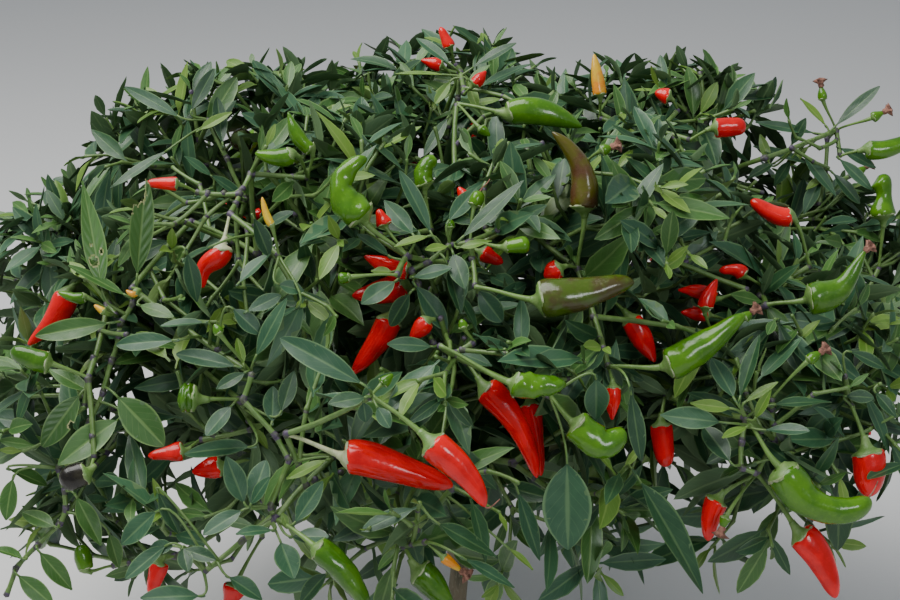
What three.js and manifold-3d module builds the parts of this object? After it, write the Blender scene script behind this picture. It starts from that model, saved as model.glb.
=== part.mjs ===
// A chilli pepper plant: one woody stem that forks into boughs, under a low broad crown of
// forked twigs with leaves and chillies. Millimetres, +Z up, the foot of the stem at the origin.
import * as THREE from "three";
import { mergeVertices } from "three/addons/utils/BufferGeometryUtils.js";
import Module from "manifold-3d";

const wasm = await Module();
wasm.setup();

// Driving sizes of the plant
const PLANT_HEIGHT = 312; // of the lobes of the crown, which single shoots stand out of
const CROWN_WIDTH = 500;
const CROWN_DEPTH = 450;
const LOWER_RING_HEIGHT = 185; // of the middles of the lower lobes
const UPPER_RING_REACH = 0.66; // as a share of how far out the lower ring is
const LOBE_HALF_WIDTH = 94;
const LOBE_HALF_HEIGHT = 74;
const FORK_HEIGHT = 68;
const STEM_LEAN = [5, -3];
const FOOT_RADIUS = 9.5;
const FLARE_HEIGHT = 14;
const STEM_SIDES = 10;
const STEM_RINGS = [0, 0.06, 0.14, 0.26, 0.45, 0.7, 1]; // as shares of its height
const STEM_RADIUS = 5.4;
const FORK_RADIUS = 4.5;
const CLEARANCE = 0.3; // between solids that meet
const SPACE_GAP = 1.6; // between the spaces of two masses
const SMALLEST_EDGE = 0.03; // finer slivers that a join leaves are smoothed away

// Boughs: how far out and how high each generation ends, and its radius there
const BOUGH = { count: 3, start: 30, reach: 42, rise: 118, radius: 3.2 };
const BRANCH = { spread: 30, reach: 84, rise: 156, radius: 2.6 };
const LIMB_TIP_RADIUS = 2;
const LIMB_SIDES = 5;
const LIMB_RINGS = [0, 0.45, 1]; // as shares of its length
const ENTRY_DISTANCE = 46; // from the middle of a mass to the tip of its limb

// Twigs of one mass: the length of each generation, and how the forks open
const TWIG_LENGTHS = [26, 38, 36];
const TWIG_RADII = [1.9, 1.6, 1.3, 1];
const TWIG_FORKS = [3, 2];
const TWIG_TRIES = 6;
const TWIG_TURN = 53; // degrees round its parent to the next try
const TWIG_EDGE = 0.82; // how far out in its lobe a twig may end
const FORK_SPREAD = 38;
const UPWARD_PULL = 0.14;
const OUTWARD_PULL = 0.22;
const SHOOT_RADIUS = 1.2; // of the twigs that carry what the photograph shows
const JOINT_REACH = 13; // two seen things nearer than this share a joint

// Leaves are fewer and larger here than on the living plant
const LEAF = { length: 56, width: 26, thickness: 1.6, widestAt: 0.42, droop: 0.08, spread: 58 };
const LEAVES_ON_TIP = 3;
const LEAVES_ON_FORK = 1;
const LEAF_STEP = 5; // along the twig from one leaf to the next
const LEAF_FOOT = 5; // the stretch next to the twig, where a blade is too narrow to touch anything
const LEAF_GAP = 1.2;
const LEAF_SHRINK = 0.87; // for each new try at a leaf that doesn't fit
const LEAF_TRIES = 10;
const LEAF_TURN = 137; // degrees round the twig from one leaf to the next
const LEAF_TRY_TURN = 41;
const LEAF_EDGE = 1.06; // how far out in its lobe a leaf may reach
const SEEN_LEAF_EDGE = 1.4;

// A chilli and its stalk
const CHILLI = { length: 38, width: 12, sides: 5, tries: 6 };
const CHILLI_EDGE = 1.1; // how far out in its lobe a chilli may reach
const HIDDEN_CHILLIES = 2; // in each mass that shows none in the photograph
const STALK = { length: 27, startRadius: 1, endRadius: 1.8 };

const SEED = 4100;

// The camera that took the photograph, which places what stands out in front
const PHOTO = { middle: [450, 300], focal: 1800, eye: [0, -808, 497], pitch: 20, focus: 700 };

const up = new THREE.Vector3(0, 0, 1);
const vector = (x, y, z) => new THREE.Vector3(x, y, z);
const radians = THREE.MathUtils.degToRad;

// Evenly spread numbers from 0 to 1 that are the same on each run
function seeded(seed) {
  let state = seed >>> 0;
  const next = () => {
    state = (Math.imul(state, 1664525) + 1013904223) >>> 0;
    return state / 4294967296;
  };
  for (let i = 0; i < 4; i++) next();
  return next;
}

// A direction turned away from another by a spread, towards a side given by an angle in degrees
function tilted(direction, angle, spread) {
  const beside = Math.abs(direction.z) < 0.95 ? up : vector(1, 0, 0);
  const side = beside.clone().cross(direction).normalize();
  const front = direction.clone().cross(side);
  return direction
    .clone()
    .multiplyScalar(Math.cos(radians(spread)))
    .addScaledVector(side, Math.sin(radians(spread)) * Math.cos(radians(angle)))
    .addScaledVector(front, Math.sin(radians(spread)) * Math.sin(radians(angle)));
}

// The shortest way between two straight pieces, each from a to b
function distanceBetween(p, q) {
  const u = p.b.clone().sub(p.a);
  const v = q.b.clone().sub(q.a);
  const w = p.a.clone().sub(q.a);
  const [uu, uv, vv, uw, vw] = [u.dot(u), u.dot(v), v.dot(v), u.dot(w), v.dot(w)];
  const across = uu * vv - uv * uv;
  const clamp = (x) => Math.min(1, Math.max(0, x));
  let s = across > 1e-9 ? clamp((uv * vw - vv * uw) / across) : 0;
  const t = clamp((uv * s + vw) / Math.max(vv, 1e-9));
  s = clamp((uv * t - uw) / Math.max(uu, 1e-9));
  return w.addScaledVector(u, s).addScaledVector(v, -t).length();
}

// The masses of foliage: two rings of lobes and one on top, each with its own space
function foliageMasses() {
  const upperHeight = PLANT_HEIGHT - LOBE_HALF_HEIGHT;
  const rings = [
    { name: "foliage_lower", count: 7, reach: 1, height: LOWER_RING_HEIGHT, start: 270 },
    { name: "foliage_upper", count: 5, reach: UPPER_RING_REACH, height: upperHeight, start: 90 },
    { name: "foliage_top", count: 1, reach: 0, height: upperHeight, start: 0 },
  ];
  const masses = [];
  for (const ring of rings) {
    for (let i = 0; i < ring.count; i++) {
      const turn = radians(ring.start + (360 * i) / ring.count);
      const x = Math.cos(turn) * ring.reach * (CROWN_WIDTH / 2 - LOBE_HALF_WIDTH);
      const y = Math.sin(turn) * ring.reach * (CROWN_DEPTH / 2 - LOBE_HALF_WIDTH);
      masses.push({
        name: ring.count > 1 ? `${ring.name}_${i + 1}` : ring.name,
        centre: vector(x, y, ring.height),
        seed: SEED + 37 * masses.length,
      });
    }
  }
  return masses;
}

const masses = foliageMasses();
const flatten = vector(1 / LOBE_HALF_WIDTH, 1 / LOBE_HALF_WIDTH, 1 / LOBE_HALF_HEIGHT);

// How far out in its lobe a point is: 0 in the middle, 1 at the edge
const outness = (mass, point) => point.clone().sub(mass.centre).multiply(flatten).length();

// True if a point is nearer to its own mass than to any other, with a gap to the plane between
function inSpace(mass, point, margin) {
  return masses.every((other) => {
    if (other === mass) return true;
    const normal = other.centre.clone().sub(mass.centre).multiply(flatten).multiply(flatten);
    const middle = other.centre.clone().add(mass.centre).multiplyScalar(0.5);
    const beyond = point.clone().sub(middle).dot(normal) / normal.length();
    return beyond < -(margin + SPACE_GAP / 2);
  });
}

const massAt = (point) =>
  masses.reduce((best, mass) => (outness(mass, point) < outness(best, point) ? mass : best));

// The point on a sight line of the photograph at some depth in front of the camera
function sighted([column, row], depth) {
  const pitch = radians(PHOTO.pitch);
  const ahead = vector(0, Math.cos(pitch), -Math.sin(pitch));
  const above = vector(0, Math.sin(pitch), Math.cos(pitch));
  return vector(...PHOTO.eye)
    .addScaledVector(ahead, depth)
    .addScaledVector(vector(1, 0, 0), ((column - PHOTO.middle[0]) / PHOTO.focal) * depth)
    .addScaledVector(above, ((PHOTO.middle[1] - row) / PHOTO.focal) * depth);
}

// The depth at which a sight line first meets the crown, or passes nearest to it
function crownDepth(place) {
  const eye = vector(...PHOTO.eye);
  const ray = sighted(place, 1).sub(eye);
  let first = Infinity;
  let passing = { miss: Infinity, depth: PHOTO.focus };
  for (const mass of masses) {
    const from = eye.clone().sub(mass.centre).multiply(flatten);
    const along = ray.clone().multiply(flatten);
    const [a, b, c] = [along.dot(along), from.dot(along), from.dot(from) - 1];
    const inside = b * b - a * c;
    const miss = c - (b * b) / a;
    if (inside > 0) first = Math.min(first, (-b - Math.sqrt(inside)) / a);
    if (miss < passing.miss) passing = { miss, depth: -b / a };
  }
  return Number.isFinite(first) ? first : passing.depth;
}

// Chillies that show in the photograph. Each has a name, the places of the joint that its stalk
// leaves, of its calyx and of its tip, its width in mm, how far in from the crown's face it
// hangs, and how far it bends to one side as a share of its length.
const seenChillies = [
  ["long_red", [286, 434], [345, 457], [453, 486], 14, 18, -0.1],
  ["front_red", [371, 396], [430, 441], [485, 507], 12, 2, 0.1],
  ["deep_red", [466, 362], [484, 387], [537, 478], 11, 42, 0.08],
  ["deep_red_twin", [524, 378], [530, 402], [541, 476], 9, 62, 0],
  ["knobbly_green", [440, 346], [512, 383], [566, 384], 10, 6, 0.06],
  ["curled_green", [550, 396], [574, 423], [624, 429], 12, 12, -0.2],
  ["dark_pod", [475, 287], [537, 300], [634, 283], 15, 10, -0.08],
  ["brown_upright", [577, 268], [584, 210], [552, 132], 12, 26, -0.14],
  ["slim_green", [608, 367], [666, 366], [745, 314], 13, 8, -0.1],
  ["hooked_green", [746, 418], [780, 467], [869, 497], 14, 0, -0.22],
  ["low_red", [757, 474], [799, 533], [836, 598], 12, 8, 0.1],
  ["small_red", [665, 395], [661, 423], [666, 467], 9, 28, 0],
  ["right_red", [852, 407], [867, 450], [868, 497], 13, 16, 0.04],
  ["rising_green", [766, 305], [808, 299], [866, 250], 13, 10, -0.16],
  ["twisted_green", [407, 256], [364, 219], [367, 158], 13, 10, 0.42],
  ["young_green", [432, 230], [425, 186], [436, 158], 8, 16, 0],
  ["left_green", [88, 378], [50, 363], [11, 350], 10, 6, 0.04],
  ["bottom_green", [290, 520], [315, 547], [368, 606], 12, 4, 0.06],
  ["leaning_red", [230, 214], [222, 246], [202, 288], 9, 26, 0.12],
  ["far_left_red", [98, 268], [68, 291], [28, 345], 10, 34, 0.08],
  ["back_green", [457, 104], [507, 114], [582, 127], 12, 8, 0.1],
  ["back_red", [690, 140], [714, 128], [746, 126], 10, 8, 0],
  ["lifted_red", [810, 266], [792, 217], [751, 200], 10, 14, 0.1],
  ["edge_green", [879, 268], [883, 218], [877, 178], 13, 10, 0],
  ["round_green", [240, 400], [197, 399], [178, 397], 11, 8, 0],
].map(([name, joint, calyx, tip, width, inward, bend]) => ({ name, joint, calyx, tip, width, inward, bend }));

// Shoots that show in the photograph as a star of leaves, with no chilli of their own
const seenShoots = [
  ["front_star", [470, 242], 4],
  ["left_sprout", [132, 288], 10],
  ["left_star", [251, 373], 8],
  ["low_star", [276, 519], 2],
  ["back_star", [460, 72], 6],
  ["back_left_star", [208, 120], 8],
  ["back_right_star", [700, 72], 6],
  ["right_star", [836, 130], 10],
].map(([name, joint, inward]) => ({ name, joint, inward }));

// Sets the place of each seen thing at the face of the crown
function placeSeen() {
  for (const shoot of [...seenChillies, ...seenShoots]) {
    const depth = crownDepth(shoot.calyx ?? shoot.joint) + shoot.inward;
    shoot.node = sighted(shoot.joint, depth + 6);
    shoot.mass = massAt(shoot.node);
    if (!shoot.calyx) continue;
    shoot.from = sighted(shoot.calyx, depth);
    shoot.to = sighted(shoot.tip, depth);
  }
}
placeSeen();

// Every straight piece that leaves and twigs keep clear of
const limbRods = [];
const rodsOf = (chilli, owner) => [
  { a: chilli.from, b: chilli.to, radius: chilli.width / 2, owner, body: true },
  { a: chilli.node.clone().lerp(chilli.from, 0.3), b: chilli.from, radius: STALK.endRadius, owner },
];
const chilliRods = seenChillies.flatMap((chilli) => rodsOf(chilli, chilli.mass));

// A closed body through a row of points, with a radius at each: a cylinder whose rings are moved
// onto the points, each ring square to the way that the row runs there
function tube(points, radii, sides) {
  const geometry = new THREE.CylinderGeometry(1, 1, 1, sides, points.length - 1);
  const position = geometry.getAttribute("position");
  const last = points.length - 1;
  const rings = [];
  for (let i = 0; i <= last; i++) {
    const along = points[Math.min(i + 1, last)].clone().sub(points[Math.max(i - 1, 0)]).normalize();
    const before = i > 0 ? rings[i - 1].across : new THREE.Vector3(0.31, 0.87, 0.38);
    const across = before.clone().addScaledVector(along, -before.dot(along)).normalize();
    rings.push({ across, aside: across.clone().cross(along) });
  }
  for (let i = 0; i < position.count; i++) {
    const ring = Math.round((position.getY(i) + 0.5) * last);
    const point = points[ring]
      .clone()
      .addScaledVector(rings[ring].across, position.getX(i) * radii[ring])
      .addScaledVector(rings[ring].aside, position.getZ(i) * radii[ring]);
    position.setXYZ(i, point.x, point.y, point.z);
  }
  return geometry;
}

// The solid of a closed geometry, with its shared vertices merged
function solidOf(geometry) {
  geometry.deleteAttribute("normal");
  geometry.deleteAttribute("uv");
  const merged = mergeVertices(geometry, 1e-4);
  const { array } = merged.index;
  const triangles = [];
  for (let i = 0; i < array.length; i += 3) {
    const [a, b, c] = array.slice(i, i + 3);
    if (a !== b && b !== c && c !== a) triangles.push(a, b, c);
  }
  const vertProperties = new Float32Array(merged.getAttribute("position").array);
  const triVerts = new Uint32Array(triangles);
  return new wasm.Manifold(new wasm.Mesh({ numProp: 3, vertProperties, triVerts }));
}

// The greatest body of a solid, which leaves out scraps, and sealed hollows as they face inwards
function largest(solid) {
  return solid.decompose().reduce((best, body) => (body.volume() > best.volume() ? body : best));
}

// One solid from many that overlap, joined two by two
function fused(solids) {
  let parts = solids;
  while (parts.length > 1) {
    const pairs = [];
    for (let i = 0; i < parts.length; i += 2) {
      pairs.push(i + 1 < parts.length ? parts[i].add(parts[i + 1]) : parts[i]);
    }
    parts = pairs;
  }
  return largest(parts[0]).simplify(SMALLEST_EDGE);
}

function geometryOf(solid) {
  const mesh = solid.getMesh();
  const positions = new Float32Array(mesh.numVert * 3);
  for (let i = 0; i < mesh.numVert; i++) {
    positions.set(mesh.vertProperties.subarray(i * mesh.numProp, i * mesh.numProp + 3), i * 3);
  }
  const geometry = new THREE.BufferGeometry();
  geometry.setAttribute("position", new THREE.BufferAttribute(positions, 3));
  geometry.setIndex(new THREE.BufferAttribute(mesh.triVerts, 1));
  geometry.computeVertexNormals();
  return geometry;
}

// The woody stem: a lean curve from a flat cut at the ground, with a root flare at its foot
const stemTop = vector(STEM_LEAN[0], STEM_LEAN[1], FORK_HEIGHT);
function stemGeometry(extra) {
  const curve = new THREE.CubicBezierCurve3(
    vector(0, 0, 0),
    vector(0, 0, FORK_HEIGHT * 0.35),
    vector(STEM_LEAN[0], STEM_LEAN[1], FORK_HEIGHT * 0.65),
    stemTop.clone().setZ(FORK_HEIGHT + extra),
  );
  const radii = STEM_RINGS.map((share) => {
    const flare = (FOOT_RADIUS - STEM_RADIUS) * Math.exp((-share * FORK_HEIGHT) / FLARE_HEIGHT);
    return THREE.MathUtils.lerp(STEM_RADIUS, FORK_RADIUS, share) + flare + extra;
  });
  const middles = STEM_RINGS.map((share) => curve.getPoint(share));
  const geometry = tube(middles, radii, STEM_SIDES);
  const position = geometry.getAttribute("position");
  for (let i = 0; i < position.count; i++) {
    const atFoot = position.getZ(i) < middles[1].z / 2;
    if (atFoot) position.setZ(i, 0);
  }
  return geometry;
}

// Limbs grow from the stem in three generations, and each is cut clear of those it grows from
const limbs = [];
function addLimb(name, parent, end, startRadius, endRadius) {
  const start = parent ? parent.curve.getPoint(1) : stemTop;
  const away = end.clone().sub(start);
  const leaving = parent ? parent.curve.getTangent(1) : up;
  const curve = new THREE.CubicBezierCurve3(
    start.clone().addScaledVector(away, 0.02),
    start.clone().addScaledVector(away, 0.3).addScaledVector(leaving, away.length() * 0.1),
    start.clone().addScaledVector(away, 0.68).addScaledVector(up, away.length() * -0.03),
    end,
  );
  const points = LIMB_RINGS.map((share) => curve.getPoint(share));
  const radii = LIMB_RINGS.map((share) => THREE.MathUtils.lerp(startRadius, endRadius, share));
  const swollen = radii.map((radius) => radius + CLEARANCE);
  const limb = { name, parent, curve };
  limb.solid = solidOf(tube(points, radii, LIMB_SIDES));
  limb.swollen = solidOf(tube(points, swollen, LIMB_SIDES));
  const beside = limbs.filter((other) => other.parent === parent);
  for (const other of parent ? [parent, ...beside] : beside) limb.solid = limb.solid.subtract(other.swollen);
  if (!parent) limb.solid = limb.solid.subtract(solidOf(stemGeometry(CLEARANCE)));
  limb.solid = largest(limb.solid);
  limbs.push(limb);
  for (let i = 0; i < points.length - 1; i++) {
    limbRods.push({ a: points[i], b: points[i + 1], radius: radii[i], limb });
  }
  return limb;
}

function outward(degrees, reach, rise) {
  const turn = radians(degrees);
  return vector(Math.cos(turn) * reach, Math.sin(turn) * reach * (CROWN_DEPTH / CROWN_WIDTH), rise);
}

function growLimbs() {
  const branches = [];
  for (let i = 0; i < BOUGH.count; i++) {
    const heading = BOUGH.start + (360 * i) / BOUGH.count;
    const boughEnd = outward(heading, BOUGH.reach, BOUGH.rise);
    const bough = addLimb(`bough_${i + 1}`, null, boughEnd, FORK_RADIUS * 0.84, BOUGH.radius);
    for (const side of [-1, 1]) {
      const end = outward(heading + side * BRANCH.spread, BRANCH.reach, BRANCH.rise);
      const name = `branch_${branches.length + 1}`;
      branches.push(addLimb(name, bough, end, BOUGH.radius * 0.92, BRANCH.radius));
    }
  }
  const count = { limb: 0 };
  for (const mass of masses) {
    const isTop = mass.name === "foliage_top";
    const reach = (branch) => branch.curve.getPoint(1).distanceTo(mass.centre);
    const parent = isTop ? null : branches.reduce((best, b) => (reach(b) < reach(best) ? b : best));
    const base = parent ? parent.curve.getPoint(1) : stemTop;
    const inwards = base.clone().sub(mass.centre).normalize();
    const end = mass.centre.clone().addScaledVector(inwards, ENTRY_DISTANCE);
    const startRadius = parent ? BRANCH.radius * 0.9 : FORK_RADIUS * 0.7;
    const name = isTop ? "leader" : `limb_${++count.limb}`;
    mass.limb = addLimb(name, parent, end, startRadius, LIMB_TIP_RADIUS);
  }
}
growLimbs();
limbRods.push({ a: vector(0, 0, 0), b: stemTop, radius: STEM_RADIUS });

// A twig of the seeded rule fits where it keeps to its mass's space and touches nothing else
function twigFits(mass, twig, edge) {
  if (outness(mass, twig.b) > edge || !inSpace(mass, twig.b, twig.radius)) return false;
  const rods = limbRods.filter((rod) => rod.limb !== mass.limb || twig.level > 1);
  const clearOf = (rod) => distanceBetween(twig, rod) > rod.radius + twig.radius + 1;
  return rods.every(clearOf) && chilliRods.every((rod) => (rod.owner === mass && !rod.body) || clearOf(rod));
}

// The twigs of a mass: its stem carries on from the tip of its limb, then each tip forks again.
// The first twig of a fork continues the one before it, and the others grow from its side.
function growTwigs(mass) {
  const draw = seeded(mass.seed);
  const direction = mass.limb.curve.getTangent(1).normalize();
  const a = mass.limb.curve.getPoint(1).addScaledVector(direction, CLEARANCE);
  const b = a.clone().addScaledVector(direction, TWIG_LENGTHS[0]);
  const twigs = [{ a, b, direction, radius: TWIG_RADII[0], endRadius: TWIG_RADII[1], level: 0 }];
  for (let level = 1; level < TWIG_LENGTHS.length; level++) {
    for (const parent of twigs.filter((twig) => twig.level === level - 1)) {
      const turn = draw() * 360;
      const forks = TWIG_FORKS[level - 1];
      for (let fork = 0; fork < forks; fork++) {
        for (let go = 0; go < TWIG_TRIES; go++) {
          const angle = turn + (360 * fork) / forks + (draw() - 0.5) * 40 + go * TWIG_TURN;
          const spread = FORK_SPREAD + (draw() - 0.5) * 16;
          const length = TWIG_LENGTHS[level] * (0.85 + 0.3 * draw()) * (1 - 0.1 * go);
          const way = tilted(parent.direction, angle, spread).addScaledVector(up, UPWARD_PULL);
          way.addScaledVector(parent.b.clone().sub(mass.centre).multiply(flatten), OUTWARD_PULL).normalize();
          const end = parent.b.clone().addScaledVector(way, length);
          const [radius, endRadius] = [TWIG_RADII[level], TWIG_RADII[level + 1]];
          const twig = { a: parent.b, b: end, direction: way, radius, endRadius, level, parent };
          if (!twigFits(mass, twig, TWIG_EDGE)) continue;
          twig.continues = !parent.next;
          parent.next ??= twig;
          twigs.push(twig);
          break;
        }
      }
    }
  }
  mass.twigs = twigs;
}
masses.forEach(growTwigs);

// A seen shoot is carried by a twig from the nearest place on its mass that it can reach
function carrySeen() {
  for (const shoot of [...seenShoots, ...seenChillies]) {
    const { mass } = shoot;
    const same = mass.twigs.find((twig) => twig.seen && twig.b.distanceTo(shoot.node) < JOINT_REACH);
    if (same) {
      shoot.node = same.b;
      continue;
    }
    const starts = mass.twigs
      .filter((twig) => twig.level > 0)
      .flatMap((twig) => [0.5, 1].map((share) => ({ twig, a: twig.a.clone().lerp(twig.b, share) })))
      .sort((p, q) => p.a.distanceTo(shoot.node) - q.a.distanceTo(shoot.node));
    const blocks = [
      ...masses.filter((other) => other !== mass).flatMap((other) => other.twigs),
      ...limbRods,
      ...chilliRods.filter((rod) => rod.body || rod.owner !== mass),
    ];
    const clearOf = (line, rod) => distanceBetween(line, rod) > rod.radius + SHOOT_RADIUS + 1;
    const start = starts.find(({ a }) => blocks.every((rod) => clearOf({ a, b: shoot.node }, rod)));
    if (!start) throw new Error(`${shoot.name} has no clear way from ${mass.name}`);
    const direction = shoot.node.clone().sub(start.a).normalize();
    mass.twigs.push({
      a: start.a,
      b: shoot.node,
      direction,
      radius: SHOOT_RADIUS,
      endRadius: SHOOT_RADIUS * 0.85,
      level: TWIG_LENGTHS.length,
      seen: shoot,
    });
  }
}
carrySeen();

const twigRods = masses.flatMap((mass) =>
  mass.twigs.filter((twig) => twig.seen).map((twig) => ({ ...twig, owner: mass })),
);

// A point of a leaf: a share of the way along, mm to one side, and mm above the blade
function onLeaf(leaf, along, aside, lift) {
  const across = leaf.normal.clone().cross(leaf.direction).normalize();
  const above = leaf.direction.clone().cross(across);
  return leaf.base
    .clone()
    .addScaledVector(leaf.direction, along * leaf.length)
    .addScaledVector(across, aside)
    .addScaledVector(above, lift - along ** 2 * leaf.length * LEAF.droop);
}

// A leaf: a double cone of three sides, drawn out to a base, a tip, two edges and a keel below
function leafGeometry(leaf) {
  const geometry = new THREE.SphereGeometry(1, 3, 2);
  const position = geometry.getAttribute("position");
  for (let i = 0; i < position.count; i++) {
    const [x, y, z] = [position.getX(i), position.getY(i), position.getZ(i)];
    const atEnd = Math.abs(y) > 0.5;
    const along = atEnd ? (Math.sign(y) + 1) / 2 : LEAF.widestAt;
    const aside = atEnd || x < 0 ? 0 : (Math.sign(z) * leaf.width) / 2;
    const lift = !atEnd && x < 0 ? -LEAF.thickness : 0;
    const point = onLeaf(leaf, along, aside, lift);
    position.setXYZ(i, point.x, point.y, point.z);
  }
  return geometry;
}

// The straight edges and the two halves that stand for a blade where it could touch something
function bladeOf(leaf) {
  const foot = onLeaf(leaf, LEAF_FOOT / leaf.length, 0, 0);
  const left = onLeaf(leaf, LEAF.widestAt, -leaf.width / 2, 0);
  const right = onLeaf(leaf, LEAF.widestAt, leaf.width / 2, 0);
  const tip = onLeaf(leaf, 1, 0, 0);
  const edges = [
    [foot, left],
    [left, tip],
    [tip, right],
    [right, foot],
    [foot, tip],
  ].map(([a, b]) => ({ a, b }));
  const halves = [new THREE.Triangle(foot, left, tip), new THREE.Triangle(foot, right, tip)];
  return { edges, halves, corners: [foot, left, right, tip] };
}

function pierces(line, half) {
  const way = line.b.clone().sub(line.a);
  const ray = new THREE.Ray(line.a, way.clone().normalize());
  const hit = ray.intersectTriangle(half.a, half.b, half.c, false, vector(0, 0, 0));
  return hit !== null && hit.distanceTo(line.a) < way.length();
}

const clearOfRod = (blade, rod) =>
  blade.edges.every((edge) => distanceBetween(edge, rod) > rod.radius + LEAF_GAP) &&
  !blade.halves.some((half) => pierces(rod, half));

const clearOfBlade = (blade, other) =>
  blade.edges.every((edge) => other.edges.every((line) => distanceBetween(edge, line) > LEAF_GAP)) &&
  !blade.halves.some((half) => other.edges.some((line) => pierces(line, half))) &&
  !other.halves.some((half) => blade.edges.some((line) => pierces(line, half)));

// A leaf fits where it keeps to its mass's space and its blade is clear of everything but its twig
function leafFits(mass, leaf, twig, edge) {
  const blade = bladeOf(leaf);
  const inside = (corner) => inSpace(mass, corner, LEAF_GAP) && outness(mass, corner) < edge;
  if (!blade.corners.every(inside)) return false;
  const rods = [
    ...limbRods,
    ...mass.twigs.filter((other) => other !== twig),
    ...chilliRods,
    ...twigRods.filter((rod) => rod.owner !== mass),
  ];
  if (!rods.every((rod) => clearOfRod(blade, rod))) return false;
  if (!mass.leaves.every((other) => clearOfBlade(blade, other.blade))) return false;
  leaf.blade = blade;
  return true;
}

// Leaves stand round each tip as a star, and one beside each fork lower down
function growLeaves(mass) {
  const draw = seeded(mass.seed + 11);
  mass.leaves = [];
  const outerFirst = mass.twigs.filter((twig) => twig.level > 0).sort((p, q) => q.level - p.level);
  for (const twig of outerFirst) {
    const count = twig.next ? LEAVES_ON_FORK : LEAVES_ON_TIP;
    const turn = draw() * 360;
    const edge = twig.seen ? SEEN_LEAF_EDGE : LEAF_EDGE;
    for (let i = 0; i < count; i++) {
      for (let go = 0; go < LEAF_TRIES; go++) {
        const angle = turn + LEAF_TURN * i + (draw() - 0.5) * 30 + go * LEAF_TRY_TURN;
        const spread = LEAF.spread + (draw() - 0.5) * 24;
        const direction = tilted(twig.direction, angle, spread);
        const size = (0.88 + 0.24 * draw()) * LEAF_SHRINK ** go;
        const normal = twig.direction.clone().addScaledVector(up, 0.6).normalize();
        const base = twig.b
          .clone()
          .addScaledVector(twig.direction, -(i + 0.6) * LEAF_STEP)
          .addScaledVector(direction, -twig.endRadius * 0.4);
        const leaf = { base, direction, normal, length: LEAF.length * size, width: LEAF.width * size };
        if (!leafFits(mass, leaf, twig, edge)) continue;
        mass.leaves.push(leaf);
        break;
      }
    }
  }
}

// A chilli with its stalk: one body along a bent row of points, from the joint on the twig
// through the calyx and the shoulders to the tip
function chilliGeometry({ node, from, to, width, bend }) {
  const view = vector(...PHOTO.eye).sub(from);
  const sideways = view.cross(to.clone().sub(from)).normalize();
  const bent = (share, amount) =>
    from.clone().lerp(to, share).addScaledVector(sideways, bend * amount * from.distanceTo(to));
  const points = [node, from, bent(0.12, 0.5), bent(0.6, 1), to];
  const radius = width / 2;
  const radii = [STALK.startRadius, STALK.endRadius, radius, radius * 0.86, 0];
  return tube(points, radii, CHILLI.sides);
}

// The chillies of a mass that the photograph doesn't show: one at a few forks, most of them hanging
function growChillies(mass) {
  const draw = seeded(mass.seed + 23);
  const wanted = seenChillies.some((chilli) => chilli.mass === mass) ? 0 : HIDDEN_CHILLIES;
  const chillies = [];
  for (const twig of mass.twigs.filter((t) => t.level > 0 && !t.seen)) {
    if (chillies.length === wanted) break;
    for (let go = 0; go < CHILLI.tries; go++) {
      const out = tilted(twig.direction, draw() * 360, 50).addScaledVector(up, (draw() - 0.4) * 0.8);
      const from = twig.b.clone().addScaledVector(out.normalize(), STALK.length);
      const way = out.clone().addScaledVector(up, draw() < 0.55 ? -1 : 0.5).normalize();
      const length = CHILLI.length * (0.75 + 0.4 * draw());
      const width = CHILLI.width * (0.8 + 0.3 * draw());
      const to = from.clone().addScaledVector(way, length);
      const body = { a: from, b: to, radius: width / 2 };
      const fits = twigFits(mass, body, CHILLI_EDGE) && inSpace(mass, from, width / 2);
      if (!fits || mass.twigs.some((other) => distanceBetween(other, body) < width / 2 + 2)) continue;
      const chilli = { node: twig.b, from, to, width, bend: 0.1 * (draw() - 0.5) };
      chilliRods.push(...rodsOf(chilli, mass));
      chillies.push(chilli);
      break;
    }
  }
  mass.chillies = chillies;
}

masses.forEach(growChillies);

// A row of twigs that continue one another, as one body that starts inside the twig it grows from
function twigSolid(first) {
  const sunk = first.level > 0 ? first.radius / 2 : 0;
  const points = [first.a.clone().addScaledVector(first.direction, -sunk)];
  const radii = [first.radius];
  for (let twig = first; twig; twig = twig.next) {
    points.push(twig.b);
    radii.push(twig.endRadius);
  }
  return solidOf(tube(points, radii, 3));
}

// Everything of a mass in one solid
function massSolid(mass) {
  growLeaves(mass);
  const chillies = [...seenChillies.filter((chilli) => chilli.mass === mass), ...mass.chillies];
  const solids = mass.twigs.filter((twig) => !twig.continues).map(twigSolid);
  solids.push(...mass.leaves.map((leaf) => solidOf(leafGeometry(leaf))));
  solids.push(...chillies.map((chilli) => solidOf(chilliGeometry(chilli))));
  return fused(solids);
}

const bark = new THREE.MeshStandardMaterial({ color: 0x6f6a4c, roughness: 0.85, metalness: 0 });
const youngBark = new THREE.MeshStandardMaterial({ color: 0x62743f, roughness: 0.7, metalness: 0 });
const foliage = new THREE.MeshStandardMaterial({ color: 0x39563c, roughness: 0.55, metalness: 0 });

function named(name, solid, material) {
  const mesh = new THREE.Mesh(geometryOf(solid), material);
  mesh.name = name;
  return mesh;
}

const plant = new THREE.Group();
plant.name = "chilli_pepper_plant";
plant.add(named("stem", solidOf(stemGeometry(0)), bark));
for (const limb of limbs) {
  plant.add(named(limb.name, limb.solid, limb.name.startsWith("bough") ? bark : youngBark));
}
for (const mass of masses) plant.add(named(mass.name, massSolid(mass), foliage));

export default plant;
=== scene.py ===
import math

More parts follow.
